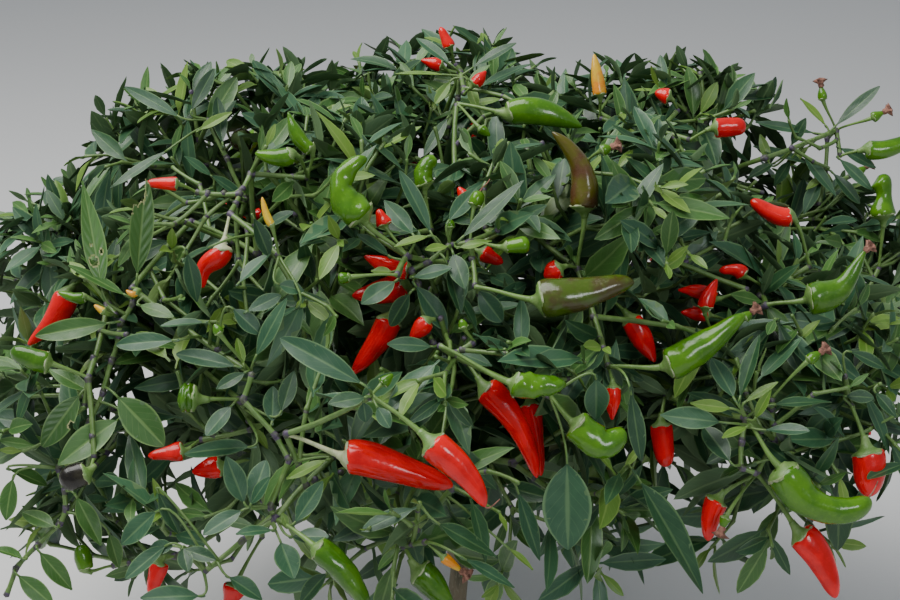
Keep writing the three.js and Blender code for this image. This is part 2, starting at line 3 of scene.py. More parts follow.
import bpy
import numpy as np
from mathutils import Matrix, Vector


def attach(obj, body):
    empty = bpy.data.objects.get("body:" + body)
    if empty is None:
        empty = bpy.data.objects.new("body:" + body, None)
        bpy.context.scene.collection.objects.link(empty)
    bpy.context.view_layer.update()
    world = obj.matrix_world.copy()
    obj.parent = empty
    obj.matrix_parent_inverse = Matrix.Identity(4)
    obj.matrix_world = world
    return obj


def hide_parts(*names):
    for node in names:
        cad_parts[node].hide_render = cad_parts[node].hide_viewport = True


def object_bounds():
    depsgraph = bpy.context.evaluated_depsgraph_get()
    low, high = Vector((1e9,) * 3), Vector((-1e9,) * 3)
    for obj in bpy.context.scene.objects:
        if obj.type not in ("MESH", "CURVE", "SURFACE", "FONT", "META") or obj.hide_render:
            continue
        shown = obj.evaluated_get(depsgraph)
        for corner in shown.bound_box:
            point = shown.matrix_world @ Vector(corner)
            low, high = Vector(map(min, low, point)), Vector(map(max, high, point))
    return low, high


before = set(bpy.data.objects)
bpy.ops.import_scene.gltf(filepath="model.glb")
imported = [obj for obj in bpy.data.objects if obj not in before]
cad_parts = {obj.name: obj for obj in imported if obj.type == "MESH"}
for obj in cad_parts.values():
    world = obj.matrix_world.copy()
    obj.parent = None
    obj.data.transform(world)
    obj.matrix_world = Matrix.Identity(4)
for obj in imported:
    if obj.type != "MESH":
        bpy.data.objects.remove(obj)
cad_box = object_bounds()

# The camera: it stands in front of the plant and looks down on the crown. What the photograph
# shows is placed by a pixel of its 900 by 600 frame, and by how far in front of the camera it is.
MM = 0.001
PHOTO_SIZE = (900, 600)
FOCAL_PIXELS = 1800
SENSOR_WIDTH = 36
EYE = np.array([0.0, -808.0, 497.0])
LOOKING_DOWN = math.radians(20)
CROWN_FOCUS = 700
AHEAD = np.array([0, math.cos(LOOKING_DOWN), -math.sin(LOOKING_DOWN)])
ABOVE = np.array([0, math.sin(LOOKING_DOWN), math.cos(LOOKING_DOWN)])
RIGHT = np.array([1.0, 0, 0])
UP = np.array([0, 0, 1.0])


def sighted(place, depth):
    """The point on a pixel's sight line: the eye, plus the depth times the way ahead, which is
    turned aside by the pixel's distance from the middle of the frame over the focal length."""
    aside = (place[0] - PHOTO_SIZE[0] / 2) / FOCAL_PIXELS
    above = (PHOTO_SIZE[1] / 2 - place[1]) / FOCAL_PIXELS
    return EYE + depth * (AHEAD + aside * RIGHT + above * ABOVE)


def seen_at(points):
    """The pixel of each point, and its depth in front of the camera: sighted() the other way round."""
    away = points - EYE
    depth = away @ AHEAD
    column = PHOTO_SIZE[0] / 2 + FOCAL_PIXELS * (away @ RIGHT) / depth
    row = PHOTO_SIZE[1] / 2 - FOCAL_PIXELS * (away @ ABOVE) / depth
    return np.stack([column, row], axis=-1), depth


def in_scene(name, data):
    """A new object of the scene that has this data."""
    made = bpy.data.objects.new(name, data)
    bpy.context.scene.collection.objects.link(made)
    return made


camera = in_scene("camera", bpy.data.cameras.new("camera"))
camera.data.sensor_width = SENSOR_WIDTH
camera.data.lens = SENSOR_WIDTH * FOCAL_PIXELS / PHOTO_SIZE[0]
camera.location = EYE * MM
camera.rotation_euler = (math.pi / 2 - LOOKING_DOWN, 0, 0)
bpy.context.scene.camera = camera

# The stem: one short woody shoot with a flare where the roots begin, furrowed along its length and
# covered in grey-brown bark. It leans a little, and three boughs fork from its top.
FORK_HEIGHT = 68
STEM_LEAN = (5, -3)
STEM_RADIUS = 5.4
FORK_RADIUS = 4.5
FOOT_RADIUS = 9.5
FLARE_HEIGHT = 14
STEM_RINGS = 90
STEM_SIDES = 72
FURROW_DEPTH = 0.5


def unit(vectors):
    """Each vector divided by its own length."""
    vectors = np.asarray(vectors, float)
    return vectors / np.linalg.norm(vectors, axis=-1, keepdims=True)


def lengths(vectors):
    """The length of each vector."""
    return np.linalg.norm(vectors, axis=-1)


def bezier(ends, shares):
    """Points on a cubic curve: its four ends weighed by (1-t)^3, 3t(1-t)^2, 3t^2(1-t) and t^3."""
    t = np.asarray(shares, float)[..., None]
    weights = [(1 - t) ** 3, 3 * t * (1 - t) ** 2, 3 * t**2 * (1 - t), t**3]
    return sum(weight * end for weight, end in zip(weights, ends))


def ring_frames(middles):
    """Two directions square to each row of middles at each ring. The first leans as little as it
    can from the way that the row bends, so that no ring turns against the next."""
    along = unit(np.gradient(middles, axis=1))
    chord = middles[:, -1] - middles[:, 0]
    sag = middles[:, middles.shape[1] // 2] - (middles[:, 0] + middles[:, -1]) / 2
    beside = np.cross(chord, sag)
    is_straight = lengths(beside) < 0.002 * (chord**2).sum(-1)
    helper = np.where(np.abs(unit(chord)[:, 2:]) < 0.9, UP, RIGHT)
    beside[is_straight] = np.cross(chord, helper)[is_straight]
    beside = unit(beside)[:, None]
    across = unit(beside - (beside * along).sum(-1, keepdims=True) * along)
    return along, across, np.cross(along, across)


def tubes(middles, radii, sides, blunt=0.4):
    """Closed round bodies, each carried along its own row of middles: a ring of points square to the
    row at every middle, at the radius given there, and one point that closes each end. middles is
    bodies by rings by 3, and radii is bodies by rings, or bodies by rings by sides."""
    along, across, aside = ring_frames(middles)
    turn = 2 * np.pi * np.arange(sides) / sides
    radii = radii[..., None] if radii.ndim == 2 else radii
    spokes = across[:, :, None] * np.cos(turn)[:, None] + aside[:, :, None] * np.sin(turn)[:, None]
    rings = middles[:, :, None] + spokes * radii[..., None]
    foot = middles[:, 0] - along[:, 0] * radii[:, 0].mean(-1, keepdims=True) * blunt
    tip = middles[:, -1] + along[:, -1] * radii[:, -1].mean(-1, keepdims=True) * blunt
    bodies, count = middles.shape[:2]
    points = np.concatenate([rings.reshape(bodies, count * sides, 3), foot[:, None], tip[:, None]], axis=1)
    return points, ring_faces(count, sides)


def ring_faces(count, sides):
    """The faces of one body made of rings: a band of quads between each ring and the next, and a fan
    of triangles from the point at each end, all with their corners turning outwards."""
    ring, side = np.meshgrid(np.arange(count - 1), np.arange(sides), indexing="ij")
    here, beyond = ring * sides + side, ring * sides + (side + 1) % sides
    quads = np.stack([here, beyond, beyond + sides, here + sides], axis=-1).reshape(-1, 4)
    side = np.arange(sides)
    beyond = (side + 1) % sides
    last = (count - 1) * sides
    foot = np.stack([np.full(sides, count * sides), beyond, side], axis=-1)
    tip = np.stack([last + side, last + beyond, np.full(sides, count * sides + 1)], axis=-1)
    return [quads, np.concatenate([foot, tip])]


def repeated(points, faces):
    """Many bodies with the same faces as one set of points and faces: each body's corner numbers
    start where those of the one before it end."""
    bodies, count = points.shape[:2]
    starts = (np.arange(bodies) * count)[:, None, None]
    return points.reshape(-1, 3), [(part[None] + starts).reshape(-1, part.shape[1]) for part in faces]


def piece(name, points, faces, materials, slot, stands_for, worn=None, place=None, sharp=None):
    """A finished piece of the plant: its mesh in metres, the materials it wears, its slot, which is not
    used, the solids it stands for, which are hidden, which face wears which material, and where each point
    lies on its own leaf or fruit."""
    mesh = bpy.data.meshes.new(name)
    corners = np.concatenate([part.ravel() for part in faces])
    sizes = np.concatenate([np.full(len(part), part.shape[1]) for part in faces])
    mesh.vertices.add(len(points))
    mesh.vertices.foreach_set("co", (points * MM).astype(np.float32).ravel())
    mesh.loops.add(len(corners))
    mesh.loops.foreach_set("vertex_index", corners.astype(np.int32))
    mesh.polygons.add(len(sizes))
    mesh.polygons.foreach_set("loop_start", (np.cumsum(sizes) - sizes).astype(np.int32))
    if worn is not None:
        mesh.polygons.foreach_set("material_index", worn.astype(np.int32))
    mesh.update(calc_edges=True)
    if place is not None:
        kept = mesh.attributes.new("place", "FLOAT_VECTOR", "POINT")
        kept.data.foreach_set("vector", place.astype(np.float32).ravel())
    mesh.shade_smooth()
    if sharp is not None:
        mesh.set_sharp_from_angle(angle=math.radians(sharp))
    for each in materials:
        mesh.materials.append(each)
    made = in_scene(name, mesh)
    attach(made, "root")
    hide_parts(*stands_for)


SOCKETS = {4: "NodeSocketColor", 3: "NodeSocketVector", 1: "NodeSocketFloat"}  # by how much they hold


def new_group(name, inputs, outputs):
    """An empty shader node group with these named sockets, what it is given and what it gives."""
    group = bpy.data.node_groups.new(name, "ShaderNodeTree")
    for label, value in inputs.items():
        kind = SOCKETS[np.size(value)]
        group.interface.new_socket(label, in_out="INPUT", socket_type=kind).default_value = value
    for label, holds in outputs.items():
        group.interface.new_socket(label, in_out="OUTPUT", socket_type=SOCKETS[holds])
    given, gives = [group.nodes.new(f"NodeGroup{end}") for end in ("Input", "Output")]
    return group, given.outputs, gives.inputs


def node(tree, kind, links=None, **settings):
    """A new node with its settings. links joins sockets of other nodes to its inputs, by name or
    number, and plain numbers or colours there become the inputs' own values."""
    made = tree.nodes.new(kind)
    for key, value in settings.items():
        setattr(made, key, value)
    for key, value in (links or {}).items():
        if isinstance(value, bpy.types.NodeSocket):
            tree.links.new(value, made.inputs[key])
        else:
            made.inputs[key].default_value = value
    return made


def maths(tree, operation, *values):
    """What one sum gives, from plain numbers or from other nodes' sockets."""
    return node(tree, "ShaderNodeMath", dict(enumerate(values)), operation=operation).outputs[0]


def mixed(tree, share, one, other):
    """The colour that lies a share of the way from one colour to another."""
    return node(tree, "ShaderNodeMix", {0: share, 6: one, 7: other}, data_type="RGBA").outputs[2]


def spread(tree, value, low, high, to_low=0.0, to_high=1.0):
    """A value moved smoothly from one range to another, and held at its ends."""
    made = node(tree, "ShaderNodeMapRange", {0: value, 1: low, 2: high, 3: to_low, 4: to_high})
    made.interpolation_type = "SMOOTHSTEP"
    return made.outputs[0]


# Patches: two colours in soft blotches of a given size, drawn out along one way, with finer specks
SPECKS_FINER = 7.0
patches, given, gives = new_group(
    "soft_patches",
    {
        "Colour": (0.5, 0.5, 0.5, 1),
        "Patch Colour": (0.4, 0.4, 0.4, 1),
        "Speck Colour": (0.3, 0.3, 0.3, 1),
        "Scale": 60.0,
        "Stretch": (1, 1, 1),
        "Patch Share": 0.5,
        "Speck Share": 0.3,
    },
    {"Colour": 4, "Height": 1},
)
where = node(patches, "ShaderNodeTexCoord").outputs["Object"]
stretched = {0: where, 1: given["Stretch"]}
drawn = node(patches, "ShaderNodeVectorMath", stretched, operation="MULTIPLY").outputs[0]
finer = maths(patches, "MULTIPLY", given["Scale"], SPECKS_FINER)
broad, fine = [
    node(patches, "ShaderNodeTexNoise", {"Vector": drawn, "Scale": scale, "Detail": detail}).outputs[0]
    for scale, detail in ((given["Scale"], 3.0), (finer, 2.0))
]
blotch = maths(patches, "MULTIPLY", spread(patches, broad, 0.4, 0.62), given["Patch Share"])
speck = maths(patches, "MULTIPLY", spread(patches, fine, 0.55, 0.68), given["Speck Share"])
coloured = mixed(patches, blotch, given["Colour"], given["Patch Colour"])
coloured = mixed(patches, speck, coloured, given["Speck Colour"])
patches.links.new(coloured, gives["Colour"])
patches.links.new(maths(patches, "ADD", broad, fine), gives["Height"])


def material(name, roughness, **plain):
    """A new material and its shader, whose plain settings are put straight on the shader's sockets."""
    made = bpy.data.materials.new(name)
    made.use_nodes = True
    shader = made.node_tree.nodes["Principled BSDF"]
    for socket, value in {"Roughness": roughness, **plain}.items():
        shader.inputs[socket.replace("_", " ").title().replace("Ior", "IOR")].default_value = value
    return made, made.node_tree, shader


def surfaced(name, group, values, roughness, follows, relief, **plain):
    """A material that takes its colour, and a relief of so many millimetres, from a node group with
    these values. follows says which output the roughness follows, over what range, and to what range."""
    made, tree, shader = material(name, roughness, **plain)
    pattern = node(tree, "ShaderNodeGroup", values, node_tree=group).outputs
    output, *ranges = follows
    bump = {"Height": pattern["Height"], "Distance": relief * MM, "Strength": 1.0}
    tree.links.new(pattern["Colour"], shader.inputs["Base Color"])
    tree.links.new(spread(tree, pattern[output], *ranges), shader.inputs["Roughness"])
    tree.links.new(node(tree, "ShaderNodeBump", bump).outputs[0], shader.inputs["Normal"])
    return made


def patchy(name, colours, roughness, scale, relief, stretch=(1, 1, 1), shares=(1.0, 0.5), **plain):
    """A material in soft patches of three colours, with a relief and a roughness that follow them."""
    one, patch, speck = [(*colour, 1) for colour in colours]
    values = {"Colour": one, "Patch Colour": patch, "Speck Colour": speck, "Scale": scale}
    values.update({"Stretch": stretch, "Patch Share": shares[0], "Speck Share": shares[1]})
    follows = ("Height", 0.7, 1.3, roughness * 0.8, roughness * 1.2)
    return surfaced(name, patches, values, roughness, follows, relief, **plain)


def furrows(turn, height, seed, ridges):
    """The relief of bark, from -1 to 1: waves round the limb whose crests wander as they climb, so
    that they read as lengthwise ridges that join and part, with shorter waves laid over them."""
    draw = np.random.default_rng(seed)
    relief = np.zeros(np.broadcast(turn, height).shape)
    for count in ridges:
        wander = 0.9 * np.sin(height / draw.uniform(9, 22) + draw.uniform(0, 6.3))
        relief += np.sin(count * turn + draw.uniform(0, 6.3) + count * 0.25 * wander) * draw.uniform(0.5, 1)
    relief *= 0.75 + 0.25 * np.sin(height / 3.1 + 2 * np.sin(3 * turn))
    return relief / len(ridges)


stem_top = np.array([*STEM_LEAN, FORK_HEIGHT], float)
stem_bow = [[0, 0, FORK_HEIGHT * 0.35], [*STEM_LEAN, FORK_HEIGHT * 0.65]]
stem_curve = np.array([[0, 0, 0], *stem_bow, stem_top])
stem_shares = np.linspace(0, 1, STEM_RINGS)
stem_middles = bezier(stem_curve, stem_shares)
stem_turn = 2 * np.pi * np.arange(STEM_SIDES) / STEM_SIDES
stem_radii = STEM_RADIUS + (FORK_RADIUS - STEM_RADIUS) * stem_shares
stem_flare = (FOOT_RADIUS - STEM_RADIUS) * np.exp(-stem_shares * FORK_HEIGHT / FLARE_HEIGHT)
root_lobes = 1 + 0.16 * np.cos(4 * stem_turn + 0.7) + 0.08 * np.cos(3 * stem_turn)
stem_radii = stem_radii[:, None] - FURROW_DEPTH / 2 + stem_flare[:, None] * root_lobes
stem_radii += FURROW_DEPTH * furrows(stem_turn, stem_middles[:, 2:], 3, (5, 7, 9, 13, 17))
stem_points, stem_faces = tubes(stem_middles[None], stem_radii[None], STEM_SIDES)
stem_points[0, :STEM_SIDES, 2] = 0
stem_points[0, -2] = 0
bark_colours = [(0.2, 0.165, 0.105), (0.105, 0.095, 0.06), (0.3, 0.27, 0.2)]
bark = patchy("woody_bark", bark_colours, roughness=0.82, scale=160, relief=0.35, stretch=(1, 1, 0.22))
piece("stem_bark", stem_points[0], stem_faces, [bark], "bark", ["stem"])

# Boughs, branches and limbs: three boughs fork from the stem, two branches from each bough, and one
# thin limb leads on into each mass of foliage. The boughs are woody, and the limbs still green.
CROWN_WIDTH = 500
CROWN_DEPTH = 450
PLANT_HEIGHT = 312
LOBE_HALF_WIDTH = 94
LOBE_HALF_HEIGHT = 74
LOWER_RING_HEIGHT = 185
UPPER_RING_REACH = 0.66
SEED = 4100
BOUGH = {"count": 3, "start": 30, "reach": 42, "rise": 118, "radius": 3.2}
BRANCH = {"spread": 30, "reach": 84, "rise": 156, "radius": 2.6}
LIMB_TIP_RADIUS = 2
LIMB_SPANS = [(0, 0.45), (0.45, 1)]  # the straight stretches that twigs keep clear of
ENTRY_DISTANCE = 46
LIMB_RINGS = 44
LIMB_SIDES = 20
COLLAR = 0.35  # how much a limb swells where it leaves its parent
COLLAR_LENGTH = 6
NODE_SPACING = 24
BOUGH_FURROWS = 0.22
LIMB_FURROWS = 0.12


def foliage_masses():
    """The masses of the crown: a lower ring of seven lobes, an upper one of five, and one on top."""
    upper_height = PLANT_HEIGHT - LOBE_HALF_HEIGHT
    rings = [
        ("foliage_lower", 7, 1, LOWER_RING_HEIGHT, 270),
        ("foliage_upper", 5, UPPER_RING_REACH, upper_height, 90),
        ("foliage_top", 1, 0, upper_height, 0),
    ]
    found = []
    for name, count, reach, height, start in rings:
        for i in range(count):
            turn = math.radians(start + 360 * i / count)
            x = math.cos(turn) * reach * (CROWN_WIDTH / 2 - LOBE_HALF_WIDTH)
            y = math.sin(turn) * reach * (CROWN_DEPTH / 2 - LOBE_HALF_WIDTH)
            label = f"{name}_{i + 1}" if count > 1 else name
            centre = np.array([x, y, height])
            number = len(found)
            found.append({"name": label, "number": number, "centre": centre, "seed": SEED + 37 * number})
    return found


masses = foliage_masses()
limbs = []
limb_rods = []


def leaving(curve):
    """The way in which a curve runs at its far end."""
    near = bezier(curve, [1 - 0.0001, 1])
    return unit(near[1] - near[0])


def add_limb(name, parent, end, start_radius, end_radius):
    """A limb as a cubic curve: it leaves the way its parent ran, bows, and sags before its tip."""
    start = parent["curve"][3] if parent else stem_top
    away = end - start
    reach = np.linalg.norm(away)
    way = leaving(parent["curve"]) if parent else UP
    bowed = start + 0.3 * away + way * reach * 0.1
    sagging = start + 0.68 * away - UP * reach * 0.03
    curve = np.array([start + 0.02 * away, bowed, sagging, end])
    limb = {"name": name, "curve": curve, "radii": (start_radius, end_radius), "reach": reach}
    for low, high in LIMB_SPANS:
        a, b = bezier(curve, [low, high])
        radius = start_radius + (end_radius - start_radius) * low
        limb_rods.append({"a": a, "b": b, "radius": radius, "limb": name})
    limbs.append(limb)
    return limb


def outward(degrees, reach, rise):
    """A point so far out at some bearing, nearer in front and behind as the crown is less deep."""
    turn = math.radians(degrees)
    return np.array([math.cos(turn) * reach, math.sin(turn) * reach * (CROWN_DEPTH / CROWN_WIDTH), rise])


branches = []
for i in range(BOUGH["count"]):
    heading = BOUGH["start"] + 360 * i / BOUGH["count"]
    bough_end = outward(heading, BOUGH["reach"], BOUGH["rise"])
    bough = add_limb(f"bough_{i + 1}", None, bough_end, FORK_RADIUS * 0.84, BOUGH["radius"])
    for side in (-1, 1):
        branch_end = outward(heading + side * BRANCH["spread"], BRANCH["reach"], BRANCH["rise"])
        name = f"branch_{len(branches) + 1}"
        branches.append(add_limb(name, bough, branch_end, BOUGH["radius"] * 0.92, BRANCH["radius"]))


def nearest_branch(mass):
    """The branch that ends nearest to a mass, or of two that are as near the one further left."""

    def far(branch):
        end = branch["curve"][3]
        return round(float(np.linalg.norm(end - mass["centre"])), 6), end[0]

    return min(branches, key=far)


for i, mass in enumerate(masses):
    is_top = mass["name"] == "foliage_top"
    parent = None if is_top else nearest_branch(mass)
    base = stem_top if is_top else parent["curve"][3]
    limb_end = mass["centre"] + unit(base - mass["centre"]) * ENTRY_DISTANCE
    start_radius = FORK_RADIUS * 0.7 if is_top else BRANCH["radius"] * 0.9
    name = "leader" if is_top else f"limb_{i + 1}"
    mass["limb"] = add_limb(name, parent, limb_end, start_radius, LIMB_TIP_RADIUS)
limb_rods.append({"a": np.zeros(3), "b": stem_top, "radius": STEM_RADIUS, "limb": "stem"})


def barked_limbs(chosen, furrow_depth):
    """Limbs with their relief: the radius falls evenly from foot to tip, swells into a collar at the
    foot and a little at each leaf scar, and carries shallow furrows."""
    shares = np.linspace(-0.02, 1.01, LIMB_RINGS)
    turn = 2 * np.pi * np.arange(LIMB_SIDES) / LIMB_SIDES
    middles, radii = [], []
    for i, limb in enumerate(chosen):
        run = shares * limb["reach"]
        low, high = limb["radii"]
        radius = low + (high - low) * shares
        collar = 1 + COLLAR * np.exp(-np.maximum(run, 0) / COLLAR_LENGTH)
        scars = 0.12 * np.exp(-((run % NODE_SPACING - NODE_SPACING / 2) ** 2) / 3)
        relief = furrow_depth * furrows(turn, run[:, None] + 40 * i, i, (3, 5, 7, 9))
        middles.append(bezier(limb["curve"], shares))
        radii.append((radius * (collar + scars))[:, None] + relief)
    return repeated(*tubes(np.array(middles), np.array(radii), LIMB_SIDES))


green_colours = [(0.115, 0.16, 0.05), (0.16, 0.15, 0.08), (0.24, 0.22, 0.13)]
green_finish = {"roughness": 0.6, "scale": 140, "relief": 0.15, "stretch": (1, 1, 0.3), "shares": (0.8, 0.5)}
young_bark = patchy("green_bark", green_colours, **green_finish)
woody = [limb for limb in limbs if limb["name"].startswith("bough")]
green = [limb for limb in limbs if not limb["name"].startswith("bough")]
woody_names, green_names = [[limb["name"] for limb in chosen] for chosen in (woody, green)]
piece("boughs_bark", *barked_limbs(woody, BOUGH_FURROWS), [bark], "bark", woody_names)
piece("limbs_bark", *barked_limbs(green, LIMB_FURROWS), [young_bark], "young_bark", green_names)

# Twigs: each mass has one stem that carries on from its limb and forks again and again by a seeded
# rule, down to thin green shoots. A forked twig keeps to its own mass's space, and clear of the limbs
# and chillies. Every place where twigs meet is a swollen node, dark purple on young shoots.
SPACE_GAP = 1.6
TWIG_LENGTHS = [26, 38, 36]
TWIG_RADII = [1.9, 1.6, 1.3, 1]
TWIG_FORKS = [3, 2]
TWIG_TRIES = 6
TWIG_TURN = 53
TWIG_EDGE = 0.82
FORK_SPREAD = 38
UPWARD_PULL = 0.14
OUTWARD_PULL = 0.22
SHOOT_RADIUS = 1.2
JOINT_REACH = 13
JOINT_BEHIND = 6  # how much deeper a joint is than what it carries
CHILLI = {"length": 38, "width": 12, "tries": 6}
CHILLI_EDGE = 1.1
HIDDEN_CHILLIES = 2
STALK_LENGTH = 27
STALK_END_RADIUS = 1.8
flatten = np.array([1 / LOBE_HALF_WIDTH, 1 / LOBE_HALF_WIDTH, 1 / LOBE_HALF_HEIGHT])
centres = np.array([mass["centre"] for mass in masses])


def seeded(seed):
    """Evenly spread numbers from 0 to 1 that are the same on each run."""
    state = seed

    def draw():
        nonlocal state
        state = (state * 1664525 + 1013904223) % 2**32
        return state / 2**32

    for _ in range(4):
        draw()
    return draw


def tilted(direction, angle, spread_by):
    """Directions turned away from others by a spread, towards a side given by an angle in degrees."""
    direction = np.asarray(direction, float)
    beside = np.where(np.abs(direction[..., 2:]) < 0.95, UP, RIGHT)
    side = unit(np.cross(beside, direction))
    front = np.cross(direction, side)
    spread_by = np.radians(spread_by)[..., None]
    angle = np.radians(angle)[..., None]
    aside = side * np.cos(angle) + front * np.sin(angle)
    return direction * np.cos(spread_by) + aside * np.sin(spread_by)


def gaps(a, b, others_a, others_b):
    """The shortest way between straight pieces, each from its a to its b, one to one or one to many."""
    u, v, w = b - a, others_b - others_a, a - others_a
    uu, uv, vv = (u * u).sum(-1), (u * v).sum(-1), (v * v).sum(-1)
    uw, vw = (u * w).sum(-1), (v * w).sum(-1)
    across = uu * vv - uv * uv
    s = np.where(across > 1e-9, np.clip((uv * vw - vv * uw) / np.maximum(across, 1e-9), 0, 1), 0)
    t = np.clip((uv * s + vw) / np.maximum(vv, 1e-9), 0, 1)
    s = np.clip((uv * t - uw) / np.maximum(uu, 1e-9), 0, 1)
    return lengths(w + u * s[..., None] - v * t[..., None])


def outness(mass, point):
    """How far out in its lobe a point is: 0 in the middle, 1 at the edge."""
    return lengths((point - mass["centre"]) * flatten)


def in_space(mass, point, margin):
    """True where a point lies on its own mass's side of the plane half way to every other one."""
    others = centres[[other is not mass for other in masses]]
    normal = (others - mass["centre"]) * flatten * flatten
    middle = (others + mass["centre"]) / 2
    beyond = ((point - middle) * normal).sum(-1) / lengths(normal)
    return bool((beyond < -(margin + SPACE_GAP / 2)).all())


def mass_at(point):
    """The mass in whose lobe a point is least far out."""
    return min(masses, key=lambda mass: outness(mass, point))


def crown_depth(place):
    """The depth at which a pixel's sight line first meets a lobe, or passes nearest to one."""
    ray = (sighted(place, 1) - EYE) * flatten
    start = (EYE - centres) * flatten
    a, b, c = (ray * ray).sum(), start @ ray, (start * start).sum(-1) - 1
    inside = b * b - a * c
    if (inside > 0).any():
        hit = inside > 0
        return ((-b[hit] - np.sqrt(inside[hit])) / a).min()
    return (-b / a)[np.argmin(c - b * b / a)]


# Chillies that show in the photograph, by name: the places of the joint that the stalk leaves, of
# the calyx and of the tip, the width, how far in from the crown's face it hangs, and any bend
seen_chillies = {
    "long_red": [(286, 434), (345, 457), (453, 486), 14, 18, -0.1],
    "front_red": [(371, 396), (430, 441), (485, 507), 12, 2, 0.1],
    "deep_red": [(466, 362), (484, 387), (537, 478), 11, 42, 0.08],
    "deep_red_twin": [(524, 378), (530, 402), (541, 476), 9, 62],
    "knobbly_green": [(440, 346), (512, 383), (566, 384), 10, 6, 0.06],
    "curled_green": [(550, 396), (574, 423), (624, 429), 12, 12, -0.2],
    "dark_pod": [(475, 287), (537, 300), (634, 283), 15, 10, -0.08],
    "brown_upright": [(577, 268), (584, 210), (552, 132), 12, 26, -0.14],
    "slim_green": [(608, 367), (666, 366), (745, 314), 13, 8, -0.1],
    "hooked_green": [(746, 418), (780, 467), (869, 497), 14, 0, -0.22],
    "low_red": [(757, 474), (799, 533), (836, 598), 12, 8, 0.1],
    "small_red": [(665, 395), (661, 423), (666, 467), 9, 28],
    "right_red": [(852, 407), (867, 450), (868, 497), 13, 16, 0.04],
    "rising_green": [(766, 305), (808, 299), (866, 250), 13, 10, -0.16],
    "twisted_green": [(407, 256), (364, 219), (367, 158), 13, 10, 0.42],
    "young_green": [(432, 230), (425, 186), (436, 158), 8, 16],
    "left_green": [(88, 378), (50, 363), (11, 350), 10, 6, 0.04],
    "bottom_green": [(290, 520), (315, 547), (368, 606), 12, 4, 0.06],
    "leaning_red": [(230, 214), (222, 246), (202, 288), 9, 26, 0.12],
    "far_left_red": [(98, 268), (68, 291), (28, 345), 10, 34, 0.08],
    "back_green": [(457, 104), (507, 114), (582, 127), 12, 8, 0.1],
    "back_red": [(690, 140), (714, 128), (746, 126), 10, 8],
    "lifted_red": [(810, 266), (792, 217), (751, 200), 10, 14, 0.1],
    "edge_green": [(879, 268), (883, 218), (877, 178), 13, 10],
    "round_green": [(240, 400), (197, 399), (178, 397), 11, 8],
}
# Where the middle of a pod runs a quarter, half and three quarters of the way along, as pixels
POD_WAYS = {
    "long_red": [(370, 460), (399, 469), (427, 478)],
    "front_red": [(447, 456), (464, 472), (477, 490)],
    "deep_red": [(503, 406), (519, 429), (530, 453)],
    "low_red": [(811, 546), (822, 563), (830, 581)],
    "leaning_red": [(217, 258), (207, 265), (202, 276)],
    "knobbly_green": [(527, 386), (540, 386), (553, 385)],
    "curled_green": [(586, 434), (601, 443), (614, 440)],
    "dark_pod": [(562, 297), (587, 293), (612, 286)],
    "brown_upright": [(585, 190), (581, 168), (568, 147)],
    "slim_green": [(684, 358), (705, 345), (726, 329)],
    "hooked_green": [(800, 494), (822, 508), (848, 510)],
    "rising_green": [(821, 297), (838, 290), (851, 275)],
    "twisted_green": [(350, 206), (341, 190), (346, 172)],
    "young_green": [(423, 178), (425, 168), (431, 161)],
    "edge_green": [(883, 207), (884, 196), (882, 185)],
}
# The girth of a pod, as a share of its width, at five places evenly from its shoulder to its tip
POD_GIRTHS = {
    "long_red": (0.9, 1, 0.86, 0.68, 0.4),
    "front_red": (0.94, 1, 0.82, 0.6, 0.25),
    "deep_red": (1, 0.95, 0.75, 0.58, 0.3),
    "low_red": (0.9, 1, 0.85, 0.65, 0.35),
    "leaning_red": (0.9, 1, 0.85, 0.6, 0.42),
    "knobbly_green": (1, 1, 0.9, 0.72, 0.45),
    "curled_green": (0.95, 1, 1, 0.8, 0.55),
    "dark_pod": (0.95, 1, 0.82, 0.6, 0.36),
    "brown_upright": (0.95, 0.95, 0.75, 0.5, 0.2),
    "slim_green": (0.88, 1, 0.86, 0.6, 0.34),
    "hooked_green": (0.98, 1, 0.82, 0.74, 0.6),
    "rising_green": (0.85, 1, 0.76, 0.48, 0.26),
    "twisted_green": (0.95, 1, 0.78, 0.6, 0.5),
    "young_green": (1, 1, 0.9, 0.75, 0.5),
    "round_green": (0.9, 1, 1.1, 1, 0.8),
    "left_green": (1, 1, 0.95, 0.85, 0.6),
    "back_red": (1, 1, 0.98, 0.92, 0.75),
    "lifted_red": (1, 1, 0.9, 0.75, 0.55),
    "edge_green": (1, 1.05, 0.72, 0.95, 0.75),
    "star_bud": (0.7, 0.8, 0.92, 1, 0.85),
    "left_star_bud": (0.7, 0.85, 1, 1, 0.8),
    "corolla_bud": (0.8, 1, 1, 0.9, 0.6),
    "pale_round_green": (0.9, 1.05, 1.1, 1, 0.7),
    "black_pod": (0.95, 1.1, 1.15, 1.05, 0.7),
    "bottom_green": (0.9, 1, 0.92, 0.75, 0.5),
    "right_red": (0.95, 1, 0.95, 0.8, 0.45),
    "small_red": (0.95, 1, 0.95, 0.85, 0.6),
}
# How knobbly a pod is, and the width of those that are slimmer than their stand-ins for the twigs
POD_KNOBS = {
    "knobbly_green": 0.12, "curled_green": 0.05, "dark_pod": 0.035,
    "brown_upright": 0.04, "slim_green": 0.05, "hooked_green": 0.045,
    "rising_green": 0.04, "twisted_green": 0.12, "young_green": 0.08,
    "round_green": 0.12, "bottom_green": 0.05,
}
POD_WIDTHS = {"left_green": 9, "back_red": 8.5, "lifted_red": 8.5, "edge_green": 10.5, "bottom_green": 10.4}
seen_shoots = {
    "front_star": [(470, 242), 4],
    "left_sprout": [(132, 288), 10],
    "left_star": [(251, 373), 8],
    "low_star": [(276, 519), 2],
    "back_star": [(460, 72), 6],
    "back_left_star": [(208, 120), 8],
    "back_right_star": [(700, 72), 6],
    "right_star": [(836, 130), 10],
}


